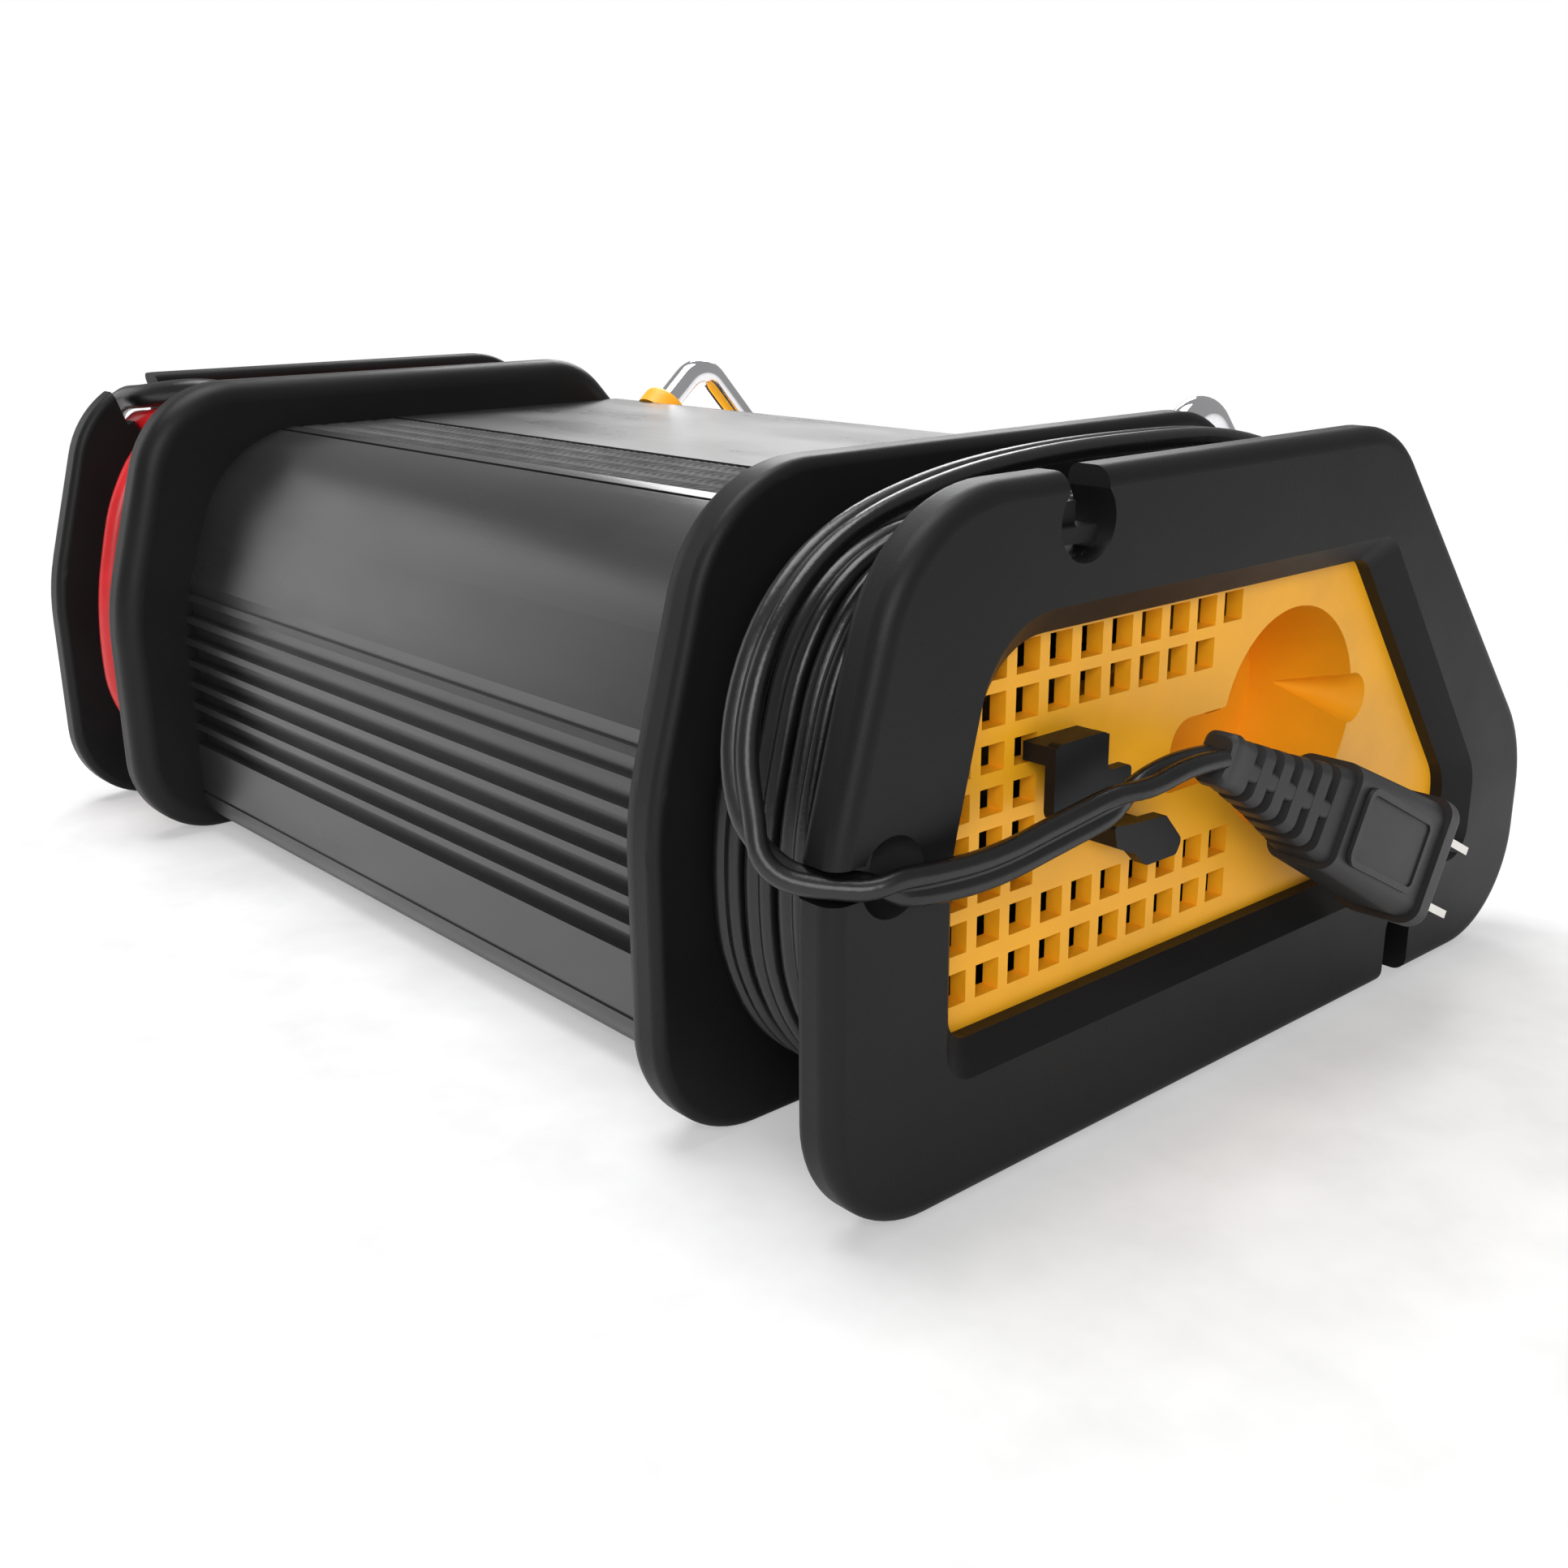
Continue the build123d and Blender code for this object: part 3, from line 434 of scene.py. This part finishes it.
def spline_points(points):
    """Points along the NURBS curve of a route."""
    holder = bpy.data.objects.new("route", open_spline("route", points))
    mesh = bpy.data.meshes.new_from_object(holder)
    along = [v.co.copy() for v in mesh.vertices]
    bpy.data.objects.remove(holder)
    bpy.data.meshes.remove(mesh)
    return along


def run_length(points):
    return sum((b - a).length for a, b in zip(points, points[1:]))


def core_point(reel, clear_x, x, depth, angle):
    """A point at x, depth outside the reel's core, seen at an angle round the middle of the reel."""
    out = Vector((0, cos(angle), sin(angle)))
    centre = Vector((clear_x, 0, MID_Z))
    hit, place_hit, normal, _ = NODES[reel].ray_cast(centre + out * 0.3, -out)
    if not hit:
        raise RuntimeError(f"no core under {reel} at {degrees(angle):.0f} degrees")
    return Vector((x, 0, 0)) + (place_hit + normal * depth) * Vector((0, 1, 1))


# ---------------------------------------------------------------- mains cord

POINTS_PER_TURN = 44
GROMMET_AC = Vector((-0.118, 0.040, 0.0165))
AC_CLEAR_X = -0.130
MAINS_ROUTE = [
    (-0.119, 0.022, 0.0058),
    (-0.119, -0.018, 0.0054),
    (-0.1193, -0.056, 0.0055),
    (-0.1197, -0.0785, 0.0076),
    (-0.1202, -0.0915, 0.0175),
    (-0.121, -0.095, 0.033),
    (-0.122, -0.088, 0.0495),
    (-0.123, -0.069, 0.0715),
    (-0.124, -0.052, 0.090),
    (-0.125, -0.0385, 0.1022),
    (-0.126, -0.016, 0.1084),
    (-0.1265, 0.011, 0.1093),
    (-0.127, 0.036, 0.1092),
    (-0.1275, 0.058, 0.1073),
    (-0.128, 0.079, 0.102),
    (-0.129, 0.0925, 0.0915),
    (-0.131, 0.100, 0.077),
    (-0.1352, 0.102, 0.0655),
    (-0.1402, 0.1012, 0.059),
    (-0.1455, 0.0964, 0.0576),
    (-0.151, 0.0902, 0.0573),
    (-0.153, 0.0845, 0.0566),
    (-0.154, 0.0718, 0.0562),
    (-0.1548, 0.0583, 0.0586),
    (-0.156, 0.0486, 0.0606),
    (-0.157, 0.040, 0.0632),
    (-0.1578, 0.032, 0.0648),
    (-0.1581, 0.0255, 0.0642),
]


def wound_turns(reel, clear_x, start_angle, total, lanes, depths):
    """Control points of a cord wound on a reel: lanes and depths hold one value for each turn."""
    steps = round(total * POINTS_PER_TURN)
    points = []
    for i in range(steps + 1):
        turn = total * i / steps
        whole = min(int(turn), len(lanes) - 1)
        # a turn keeps its lane, and moves to the next one over the last eighth
        nearly = max(0.0, (turn - whole - 0.875) / 0.125) if whole + 1 < len(lanes) else 0.0
        blend = nearly * nearly * (3 - 2 * nearly)
        following = min(whole + 1, len(lanes) - 1)
        x = lanes[whole] * (1 - blend) + lanes[following] * blend
        depth = depths[whole] * (1 - blend) + depths[following] * blend
        stray = 0.35 * MM * sin(3.1 * turn * 2 * pi / 1.7 + whole)
        points.append(core_point(reel, clear_x, x + stray, depth, start_angle - 2 * pi * turn))
    return points


def flat_side(tangent, x):
    """The direction of the flat cord's width at x.

    It lies across the reel, on edge through the slot, upright on the end plate and across again at the plug.
    """
    def ramp(low, high):
        t = min(1.0, max(0.0, (x - low) / (high - low)))
        return t * t * (3 - 2 * t)

    across = Vector((-1, 0, 0))
    edge = tangent.cross(Vector((0, 0, 1)))
    upright = tangent.cross(Vector((1, 0, 0)))
    in_slot = ramp(-0.1335, -0.1420)
    on_front = ramp(-0.1480, -0.1540)
    wide = across * (1 - in_slot) + edge.normalized() * in_slot
    wide = wide * (1 - on_front) + upright * on_front
    at_hooks = ramp(-0.1556, -0.1572)
    wide = wide.normalized() * (1 - at_hooks) + across * at_hooks
    return (wide - tangent * wide.dot(tangent)).normalized()


def flat_section(width, thick, count=12):
    """Half-round lobes side by side with a groove between, as (across, out) pairs."""
    lobe = thick / 2
    centre = width / 2 - lobe
    ring = []
    for side in (1, -1):
        for i in range(count + 1):
            angle = -0.8 * pi + 1.6 * pi * i / count
            ring.append((side * (centre + lobe * cos(angle)), side * lobe * sin(angle)))
    return ring


def sweep_flat(path, ring):
    """A bmesh tube of a ring of (across, out) pairs along a path, with closed ends."""
    bm = bmesh.new()
    loops = []
    for i, here in enumerate(path):
        tangent = (path[min(i + 1, len(path) - 1)] - path[max(i - 1, 0)]).normalized()
        wide = flat_side(tangent, here.x)
        out = tangent.cross(wide)
        loops.append([bm.verts.new(here + wide * a + out * b) for a, b in ring])
    for before, after in zip(loops, loops[1:]):
        for j in range(len(ring)):
            k = (j + 1) % len(ring)
            bm.faces.new((before[j], before[k], after[k], after[j]))
    bm.faces.new(loops[0][::-1])
    bm.faces.new(loops[-1])
    return bm


class CHARGER_OT_mains_cord(bpy.types.Operator):
    """Winds the flat mains cord on its reel and leads it to the plug"""

    bl_idname = "charger.mains_cord"
    bl_label = "Mains cord"

    def execute(self, context):
        cord = sizes()
        span = abs(PLATE_IN_AC - FLANGE_AC)
        gap = (span - cord.turns * cord.cord_width) / (cord.turns + 1)
        lanes = [
            FLANGE_AC - (gap + cord.cord_width) * (i + 1) + cord.cord_width / 2
            for i in range(cord.turns)
        ]
        start = atan2(0.013 - MID_Z, GROMMET_AC.y)
        depths = [cord.cord_thick / 2 + 0.5 * MM] * cord.turns
        wound = wound_turns("ac_reel", AC_CLEAR_X, start, cord.turns - 0.02, lanes, depths)
        approach = [Vector((-0.1262, 0.0335, 0.0078))]
        route = [GROMMET_AC, *wound, *approach, *(Vector(p) for p in MAINS_ROUTE)]
        path = spline_points(route)
        piece = to_piece(
            sweep_flat(path, flat_section(cord.cord_width, cord.cord_thick)),
            "mains_cord", "charger", black_sheath())
        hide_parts("ac_cord_lead", "ac_cord_winding")
        return {"FINISHED"}


# ---------------------------------------------------------------- battery leads

DC_CLEAR_X = 0.125
RED_ROUTE = [
    (0.1362, 0.044, 0.1012),
    (0.1364, 0.054, 0.1016),
    (0.1364, 0.062, 0.1004),
    (0.1382, 0.0676, 0.0988),
    (0.1415, 0.0696, 0.0978),
    (0.1495, 0.0694, 0.0975),
    (0.1545, 0.0705, 0.093),
    (0.156, 0.0708, 0.084),
    (0.1542, 0.0678, 0.073),
    (0.150, 0.062, 0.062),
    (0.1425, 0.0595, 0.052),
    (0.1345, 0.057, 0.0435),
    (0.1312, 0.0505, 0.0366),
    (0.131, 0.0432, 0.0342),
]
BLACK_ROUTE = [
    (0.121, 0.044, 0.1014),
    (0.1216, 0.053, 0.1046),
    (0.1256, 0.0605, 0.1064),
    (0.1325, 0.0668, 0.1058),
    (0.1405, 0.0707, 0.1044),
    (0.150, 0.0716, 0.1038),
    (0.1576, 0.073, 0.100),
    (0.162, 0.0715, 0.090),
    (0.1615, 0.0645, 0.080),
    (0.1545, 0.058, 0.0705),
    (0.142, 0.0572, 0.0625),
    (0.1305, 0.058, 0.056),
    (0.1205, 0.060, 0.047),
    (0.114, 0.0555, 0.0375),
    (0.112, 0.0432, 0.0342),
]


def battery_lead(colour, exit_x, lanes, route, look):
    """Winds one battery lead on its half of the reel, in two layers, and leads it to its clamp."""
    radius = sizes().lead_diameter / 2
    turns = sizes().turns
    out_of = Vector((exit_x, 0.040, 0.0195))
    # out along one layer and back along the next
    order = [lanes[((i + 1) // 2) % 2] for i in range(turns)]
    depths = [radius * (1 + 2 * (i // 2)) + 0.2 * MM for i in range(turns)]
    start = atan2(0.0175 - MID_Z, out_of.y)
    wound = wound_turns("dc_reel", DC_CLEAR_X, start, turns - 0.26, order, depths)
    points = [out_of, *wound, *(Vector(p) for p in route)]
    name = f"{colour}_battery_lead"
    piece = add_piece(name, open_spline(name, points, radius), "charger", look)
    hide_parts(f"{colour}_winding", f"{colour}_lead")
    round(run_length(spline_points(points)), 3)


class CHARGER_OT_battery_leads(bpy.types.Operator):
    """Winds the red and the black battery lead and leads them over the end plate to their clamps"""

    bl_idname = "charger.battery_leads"
    bl_label = "Battery leads"

    def execute(self, context):
        battery_lead("red", 0.133, (0.1365, 0.129), RED_ROUTE, red_sheath())
        battery_lead("black", 0.115, (0.1209, 0.1128), BLACK_ROUTE, black_sheath())
        return {"FINISHED"}


# ---------------------------------------------------------------- small shapes


def rounded_ring(wide, tall, radius, count=5):
    """Corner points of a rounded rectangle round the origin, anticlockwise."""
    ring = []
    for turn, (sx, sy) in enumerate(((1, 1), (-1, 1), (-1, -1), (1, -1))):
        centre = Vector((sx * (wide / 2 - radius), sy * (tall / 2 - radius)))
        for i in range(count + 1):
            angle = (turn + i / count) * pi / 2
            ring.append(centre + radius * Vector((cos(angle), sin(angle))))
    return ring


def add_frame(bm, at, wide, tall, radius, line, height):
    """Adds a raised rounded frame to a bmesh; at is a matrix whose z points out of the surface."""
    outer = rounded_ring(wide, tall, radius)
    inner = rounded_ring(wide - 2 * line, tall - 2 * line, max(radius - line, 0.1 * MM))
    rows = []
    for ring, z in ((outer, 0), (outer, height), (inner, height), (inner, 0)):
        rows.append([bm.verts.new(at @ Vector((p.x, p.y, z))) for p in ring])
    for low, high in zip(rows, rows[1:] + rows[:1]):
        for j in range(len(low)):
            k = (j + 1) % len(low)
            bm.faces.new((low[j], low[k], high[k], high[j]))


def add_slab(bm, at, size):
    """Adds a box to a bmesh: centred across, standing on the matrix's plane."""
    lift = Matrix.Translation((0, 0, size[2] / 2))
    bmesh.ops.create_cube(bm, size=1.0, matrix=at @ lift @ Matrix.Diagonal((*size, 1)))


def bridge(bm, rows):
    """Joins a stack of rings of vertices into a closed skin."""
    for low, high in zip(rows, rows[1:]):
        for j in range(len(low)):
            k = (j + 1) % len(low)
            bm.faces.new((low[j], low[k], high[k], high[j]))
    bm.faces.new(rows[0][::-1])
    bm.faces.new(rows[-1])


# ---------------------------------------------------------------- grip strip

GRIP_EDGE = 1.4 * MM  # the ridges fade out over this much of the strip's edge
GRIP_SWAY = 0.9 * MM  # how far a ridge sways to each side
GRIP_WAVE = 7 * MM  # distance across the strip over which a ridge sways once
GRIP_DEEP = 0.5 * MM  # height of a ridge

class CHARGER_OT_grip_strip(bpy.types.Operator):
    """Gives the rubber strip on the top its fine wavy ridges"""

    bl_idname = "charger.grip_strip"
    bl_label = "Grip strip"

    def execute(self, context):
        low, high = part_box("grip_strip")
        pitch = sizes().grip_pitch
        along, across = high.x - low.x, high.y - low.y
        bm = bmesh.new()
        bmesh.ops.create_grid(
            bm, x_segments=int(along / (0.5 * MM)), y_segments=int(across / (0.7 * MM)), size=0.5)
        rim = [e for e in bm.edges if e.is_boundary]
        for v in bm.verts:
            x, y = v.co.x * along, v.co.y * across
            edge = min(1.0, (across / 2 - abs(y)) / GRIP_EDGE, (along / 2 - abs(x)) / GRIP_EDGE)
            wave = x + GRIP_SWAY * sin(2 * pi * y / GRIP_WAVE)
            ridge = 0.5 + 0.5 * cos(2 * pi * wave / pitch)
            middle = Vector((low.x + high.x, low.y + high.y, 0)) / 2
            v.co = middle + Vector((x, y, high.z - GRIP_DEEP * (1 - ridge * edge)))
        skirt = bmesh.ops.extrude_edge_only(bm, edges=rim)
        for v in (item for item in skirt["geom"] if isinstance(item, bmesh.types.BMVert)):
            v.co.z = low.z
        bmesh.ops.holes_fill(bm, edges=[e for e in bm.edges if e.is_boundary], sides=0)
        piece = to_piece(bm, "grip_strip_ridged", "charger", soft_grip(), smooth=50)
        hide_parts("grip_strip")
        return {"FINISHED"}


# ---------------------------------------------------------------- plug

PLUG_BACK = Vector((-0.158, -0.0046, 0.0485))
PLUG_DIR = Vector((0, -0.886, -0.463)).normalized()
PLUG_ROW = Vector((0, -PLUG_DIR.z, PLUG_DIR.y))
# distance along the plug from the back of its body, width and depth of its strain relief there
RELIEF = ((-34, 7.6, 5.6), (-16, 12, 8.4), (0, 17, 11.5))


def relief_size(u):
    """Width and depth of the strain relief at u millimetres along the plug."""
    for (u0, w0, d0), (u1, w1, d1) in zip(RELIEF, RELIEF[1:]):
        if u <= u1:
            t = (u - u0) / (u1 - u0)
            return w0 + (w1 - w0) * t, d0 + (d1 - d0) * t
    return RELIEF[-1][1:]


def plug_ring(bm, u, wide, deep, radius):
    """A rounded ring of vertices across the plug, all in millimetres."""
    centre = PLUG_BACK + PLUG_DIR * u * MM
    return [
        bm.verts.new(centre + (PLUG_ROW * p.x + Vector((1, 0, 0)) * p.y) * MM)
        for p in rounded_ring(wide, deep, radius)
    ]


class CHARGER_OT_plug(bpy.types.Operator):
    """Details the moulded plug: the recessed panels on its faces and the slotted strain relief"""

    bl_idname = "charger.plug"
    bl_label = "Mains plug"

    def execute(self, context):
        bm = bmesh.new()
        for side in (-1, 1):
            out = Vector((side, 0, 0))
            across = PLUG_DIR.cross(out)
            lean = (out + PLUG_DIR * -0.024).normalized()
            at = Matrix((PLUG_DIR, across, lean)).transposed().to_4x4()
            at.translation = PLUG_BACK + PLUG_DIR * 15 * MM + out * 7.0 * MM
            add_frame(bm, at, 25 * MM, 14 * MM, 2.4 * MM, 1.2 * MM, 0.75 * MM)
        to_piece(bm, "plug_face_frames", "charger", plug_vinyl())

        bm = bmesh.new()
        rows = []
        slots = [-4.6 - 5.2 * i for i in range(5)]
        stations = [(0, 1.0)]
        for top in slots:
            stations += [(top, 1.0), (top - 0.3, 0.66), (top - 2.1, 0.66), (top - 2.4, 1.0)]
        stations += [(-30.5, 1.0), (-32, 1.12), (-33.4, 1.1), (-34, 0.92)]
        for u, share in sorted(stations):
            wide, deep = relief_size(u)
            rows.append(plug_ring(bm, u, wide * share, deep * share, min(2.3, 0.3 * deep)))
        bridge(bm, rows)
        bridge(bm, [plug_ring(bm, u, 3.4, relief_size(u)[1] * 0.99, 0.9) for u in (-30, -16, -0.5)])
        relief = to_piece(bm, "plug_slotted_relief", "charger", plug_vinyl())
        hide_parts("plug_strain_relief")
        return {"FINISHED"}


# ---------------------------------------------------------------- control panel

SLOPE_TOP = Vector((0, -0.048, 0.0986))
SLOPE_DOWN = Vector((0, -0.050, -0.0567)).normalized()
SLOPE_OUT = Vector((0, SLOPE_DOWN.z, -SLOPE_DOWN.y))
PANEL_FACE = 0.8  # millimetres that the control panel stands out of the slope


def on_slope(x, down, height):
    """A matrix on the sloped face, its y up the slope, all in millimetres."""
    at = Matrix((Vector((1, 0, 0)), -SLOPE_DOWN, SLOPE_OUT)).transposed().to_4x4()
    at.translation = SLOPE_TOP + (Vector((x, 0, 0)) + SLOPE_DOWN * down + SLOPE_OUT * height) * MM
    return at


class CHARGER_OT_control_panel(bpy.types.Operator):
    """Prints the plain borders, level marks and display bars on the control panel"""

    bl_idname = "charger.control_panel"
    bl_label = "Control panel"

    def execute(self, context):
        bm = bmesh.new()
        add_frame(bm, on_slope(0, 35, PANEL_FACE), 118 * MM, 44.5 * MM, 3 * MM, 0.5 * MM, 0.12 * MM)
        for x in (-40, 0, 40):
            add_frame(bm, on_slope(x, 48, PANEL_FACE), 22 * MM, 13 * MM, 4.2 * MM, 0.4 * MM, 0.12 * MM)
        for x in (-48, -40, -32, 32, 40, 48):
            add_slab(bm, on_slope(x, 33.6, PANEL_FACE), (3.2 * MM, 0.7 * MM, 0.12 * MM))
        for side in (-1, 1):
            for i in range(4):
                at = on_slope(side * (34 + 5 * i), 29 - i, PANEL_FACE)
                add_slab(bm, at, (3.4 * MM, (1 + 2 * i) * MM, 0.12 * MM))
        to_piece(bm, "panel_marks", "charger", mark_grey(), smooth=0)

        bm = bmesh.new()
        add_frame(bm, on_slope(0, 26, 0.6), 56 * MM, 24 * MM, 2 * MM, 1.1 * MM, 0.25 * MM)
        to_piece(bm, "display_bezel", "charger", satin_black(), smooth=0)

        bm = bmesh.new()
        for i in range(10):
            at = on_slope(-20.5 + 4.6 * i, 26 - 0.28 * i, 0.62)
            add_slab(bm, at, (3 * MM, (6 + 0.9 * i) * MM, 0.06 * MM))
        to_piece(bm, "display_bars", "charger", display_grey(), smooth=0)
        return {"FINISHED"}


# ---------------------------------------------------------------- clamp springs


class CHARGER_OT_clamp_springs(bpy.types.Operator):
    """Winds the torsion spring of each battery clamp on its pin"""

    bl_idname = "charger.clamp_springs"
    bl_label = "Clamp springs"

    def execute(self, context):
        for colour in ("red", "black"):
            low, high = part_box(f"{colour}_clamp_spring")
            wire = 0.45 * MM
            centre = (low + high) / 2
            reach = (high.z - low.z) / 2 - wire
            turns = max(3, int((high.x - low.x) / (2.1 * wire)) - 1)
            curve = bpy.data.curves.new(f"{colour}_spring_coil", "CURVE")
            curve.dimensions = "3D"
            coil = curve.splines.new("POLY")
            steps = turns * 20
            coil.points.add(steps)
            for i, control in enumerate(coil.points):
                angle = 2 * pi * turns * i / steps
                x = low.x + wire + (high.x - low.x - 2 * wire) * i / steps
                control.co = (x, centre.y + reach * cos(angle), centre.z + reach * sin(angle), 1)
            curve.bevel_depth = wire
            curve.bevel_resolution = 2
            curve.use_fill_caps = True
            piece = add_piece(f"{colour}_spring_coil", curve, "charger", zinc())
            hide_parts(f"{colour}_clamp_spring")
        return {"FINISHED"}


# ---------------------------------------------------------------- stage

CAMERA_AT = Vector((-0.3101, 0.2475, 0.1430))
CAMERA_YAW, CAMERA_PITCH, CAMERA_ROLL = radians(41.1), radians(17.58), radians(-0.58)


def soft_light(name, at, aim, size, power):
    """A square area light that points at aim."""
    data = bpy.data.lights.new(name, "AREA")
    data.shape = "SQUARE"
    data.size = size
    data.energy = power
    lamp = bpy.data.objects.new(name, data)
    bpy.context.scene.collection.objects.link(lamp)
    lamp.location = at
    lamp.rotation_euler = (Vector(aim) - Vector(at)).to_track_quat("-Z", "Y").to_euler()
    return lamp


def pale_floor():
    """White floor that takes the charger's shadow and fades into the white behind it."""
    made = material("pale_floor", moulded_grain, (0.9, 0.9, 0.9), 0.6, 0.02, 0.0, Specular_IOR_Level=0.2)
    tree = made.node_tree
    far = node(tree, "ShaderNodeVectorMath", operation="LENGTH")
    link(tree, node(tree, "ShaderNodeTexCoord").outputs["Object"], far.inputs[0])
    fade = spread(tree, far.outputs["Value"], 0.35, 1.0, 0.2, 0.6)
    ray = node(tree, "ShaderNodeLightPath")
    share = node(tree, "ShaderNodeMath", operation="MULTIPLY")
    link(tree, fade, share.inputs[0])
    link(tree, ray.outputs["Is Camera Ray"], share.inputs[1])
    glow = node(tree, "ShaderNodeEmission")
    mix = node(tree, "ShaderNodeMixShader")
    link(tree, share.outputs[0], mix.inputs[0])
    link(tree, tree.nodes["Principled BSDF"].outputs[0], mix.inputs[1])
    link(tree, glow.outputs[0], mix.inputs[2])
    link(tree, mix.outputs[0], tree.nodes["Material Output"].inputs["Surface"])
    return made


class CHARGER_OT_stage(bpy.types.Operator):
    """Makes the pale floor, the studio lights and the camera"""

    bl_idname = "charger.stage"
    bl_label = "Stage"

    def execute(self, context):
        scene = context.scene
        bm = bmesh.new()
        bmesh.ops.create_grid(bm, x_segments=1, y_segments=1, size=6)
        mesh = bpy.data.meshes.new("floor")
        bm.to_mesh(mesh)
        bm.free()
        floor = bpy.data.objects.new("floor", mesh)
        scene.collection.objects.link(floor)
        floor.data.materials.append(pale_floor())

        world = bpy.data.worlds.new("studio")
        world.use_nodes = True
        tree = world.node_tree
        # the camera sees white, and the charger is lit by a dimmer sky
        seen = tree.nodes["Background"]
        seen.inputs["Color"].default_value = (1, 1, 1, 1)
        sky = node(tree, "ShaderNodeBackground")
        sky.inputs["Color"].default_value = (1, 1, 1, 1)
        sky.inputs["Strength"].default_value = 0.34
        ray = node(tree, "ShaderNodeLightPath")
        mix = node(tree, "ShaderNodeMixShader")
        link(tree, ray.outputs["Is Camera Ray"], mix.inputs[0])
        link(tree, sky.outputs[0], mix.inputs[1])
        link(tree, seen.outputs[0], mix.inputs[2])
        link(tree, mix.outputs[0], tree.nodes["World Output"].inputs["Surface"])
        scene.world = world
        scene.view_settings.view_transform = "Standard"
        soft_light("overhead", (0.25, 0.1, 1.3), (0, 0, 0.05), 0.9, 14)
        soft_light("front_left", (-1.0, 0.9, 0.7), (-0.1, 0, 0.05), 0.7, 9)
        soft_light("far_side", (0.9, -0.9, 0.8), (0, 0, 0.06), 0.6, 8)
        soft_light("lead_end", (1.3, 0.55, 0.45), (0, 0.05, 0.06), 0.8, 2.2)

        data = bpy.data.cameras.new("camera")
        data.lens = 40.0
        data.sensor_width = 36.0
        data.clip_start = 0.01
        camera = bpy.data.objects.new("camera", data)
        scene.collection.objects.link(camera)
        look = Vector((cos(CAMERA_YAW) * cos(CAMERA_PITCH), -sin(CAMERA_YAW) * cos(CAMERA_PITCH),
                       -sin(CAMERA_PITCH)))
        level = look.cross(Vector((0, 0, 1))).normalized()
        up = level.cross(look)
        right = level * cos(CAMERA_ROLL) + up * sin(CAMERA_ROLL)
        up = up * cos(CAMERA_ROLL) - level * sin(CAMERA_ROLL)
        camera.matrix_world = Matrix.Translation(CAMERA_AT) @ Matrix((right, up, -look)).transposed().to_4x4()
        scene.camera = camera
        return {"FINISHED"}


# ---------------------------------------------------------------- the rest of the charger


class CHARGER_OT_housing(bpy.types.Operator):
    """Finishes the extruded body, the fascia, the reels and the end plates"""

    bl_idname = "charger.housing"
    bl_label = "Housing"

    def execute(self, context):
        finish_nodes(anodised_black(), "body_extrusion")
        finish_nodes(satin_black(), "ac_reel", "dc_reel", "ac_end_plate", "dc_end_plate", "strap_lug",
                     "cord_hook_upper", "cord_hook_lower", "ac_grommet", "dc_grommets",
                     "control_panel", "fan_frame", "fan_rotor", "terminal_block", "fuse_holder")
        finish_nodes(orange_yellow(), "front_fascia", "bar_feet", "ac_vent_panel", "dc_vent_panel",
                     "plug_cup", "parking_rib", "start_button")
        finish_nodes(chrome_plate(), "chrome_bar_ac", "chrome_bar_dc")
        finish_nodes(plug_vinyl(), "plug_body")
        finish_nodes(nickel_plate(), "plug_blades", "red_clamp_pin", "black_clamp_pin")
        finish_nodes(clamp_red(), "red_clamp_fixed", "red_clamp_moving")
        finish_nodes(clamp_black(), "black_clamp_fixed", "black_clamp_moving")
        finish_nodes(zinc(), "board_screws")
        finish_nodes(board_green(), "main_board", "panel_board")
        finish_nodes(laminations(), "transformer_core")
        finish_nodes(copper(), "transformer_coil", "choke_coil")
        finish_nodes(aluminium(), "heat_sink")
        finish_nodes(sleeve_blue(), "capacitors")
        finish_nodes(brass(), "board_posts")
        finish_nodes(smoked_window(), "display_lens")
        finish_nodes(display_grey(), "display_module")
        finish_nodes(light_pipe(), "status_lights")
        finish_nodes(key_grey(), "mode_button", "rate_button")
        return {"FINISHED"}


OPERATORS = (
    CHARGER_OT_stage,
    CHARGER_OT_housing,
    CHARGER_OT_grip_strip,
    CHARGER_OT_control_panel,
    CHARGER_OT_plug,
    CHARGER_OT_mains_cord,
    CHARGER_OT_clamp_springs,
    CHARGER_OT_battery_leads,
)


class CHARGER_PT_panel(bpy.types.Panel):
    """Lists the charger's operators in the sidebar"""

    bl_idname = "CHARGER_PT_panel"
    bl_label = "Car battery charger"
    bl_space_type = "VIEW_3D"
    bl_region_type = "UI"
    bl_category = "Charger"

    def draw(self, context):
        layout = self.layout
        for settings in (context.scene.charger_sizes, context.scene.charger_colours):
            for key in settings.__annotations__:
                layout.prop(settings, key)
        for operator in OPERATORS:
            layout.operator(operator.bl_idname)


CLASSES = (*SETTINGS, *OPERATORS, CHARGER_PT_panel)


def register():
    for cls in CLASSES:
        bpy.utils.register_class(cls)
    bpy.types.Scene.charger_sizes = PointerProperty(type=ChargerSizes)
    bpy.types.Scene.charger_colours = PointerProperty(type=ChargerColours)


def unregister():
    del bpy.types.Scene.charger_colours
    del bpy.types.Scene.charger_sizes
    for cls in reversed(CLASSES):
        bpy.utils.unregister_class(cls)


def main():
    register()
    for operator in OPERATORS:
        area, name = operator.bl_idname.split(".")
        getattr(getattr(bpy.ops, area), name)()
    bpy.context.view_layer.update()


if __name__ == "__main__":
    main()
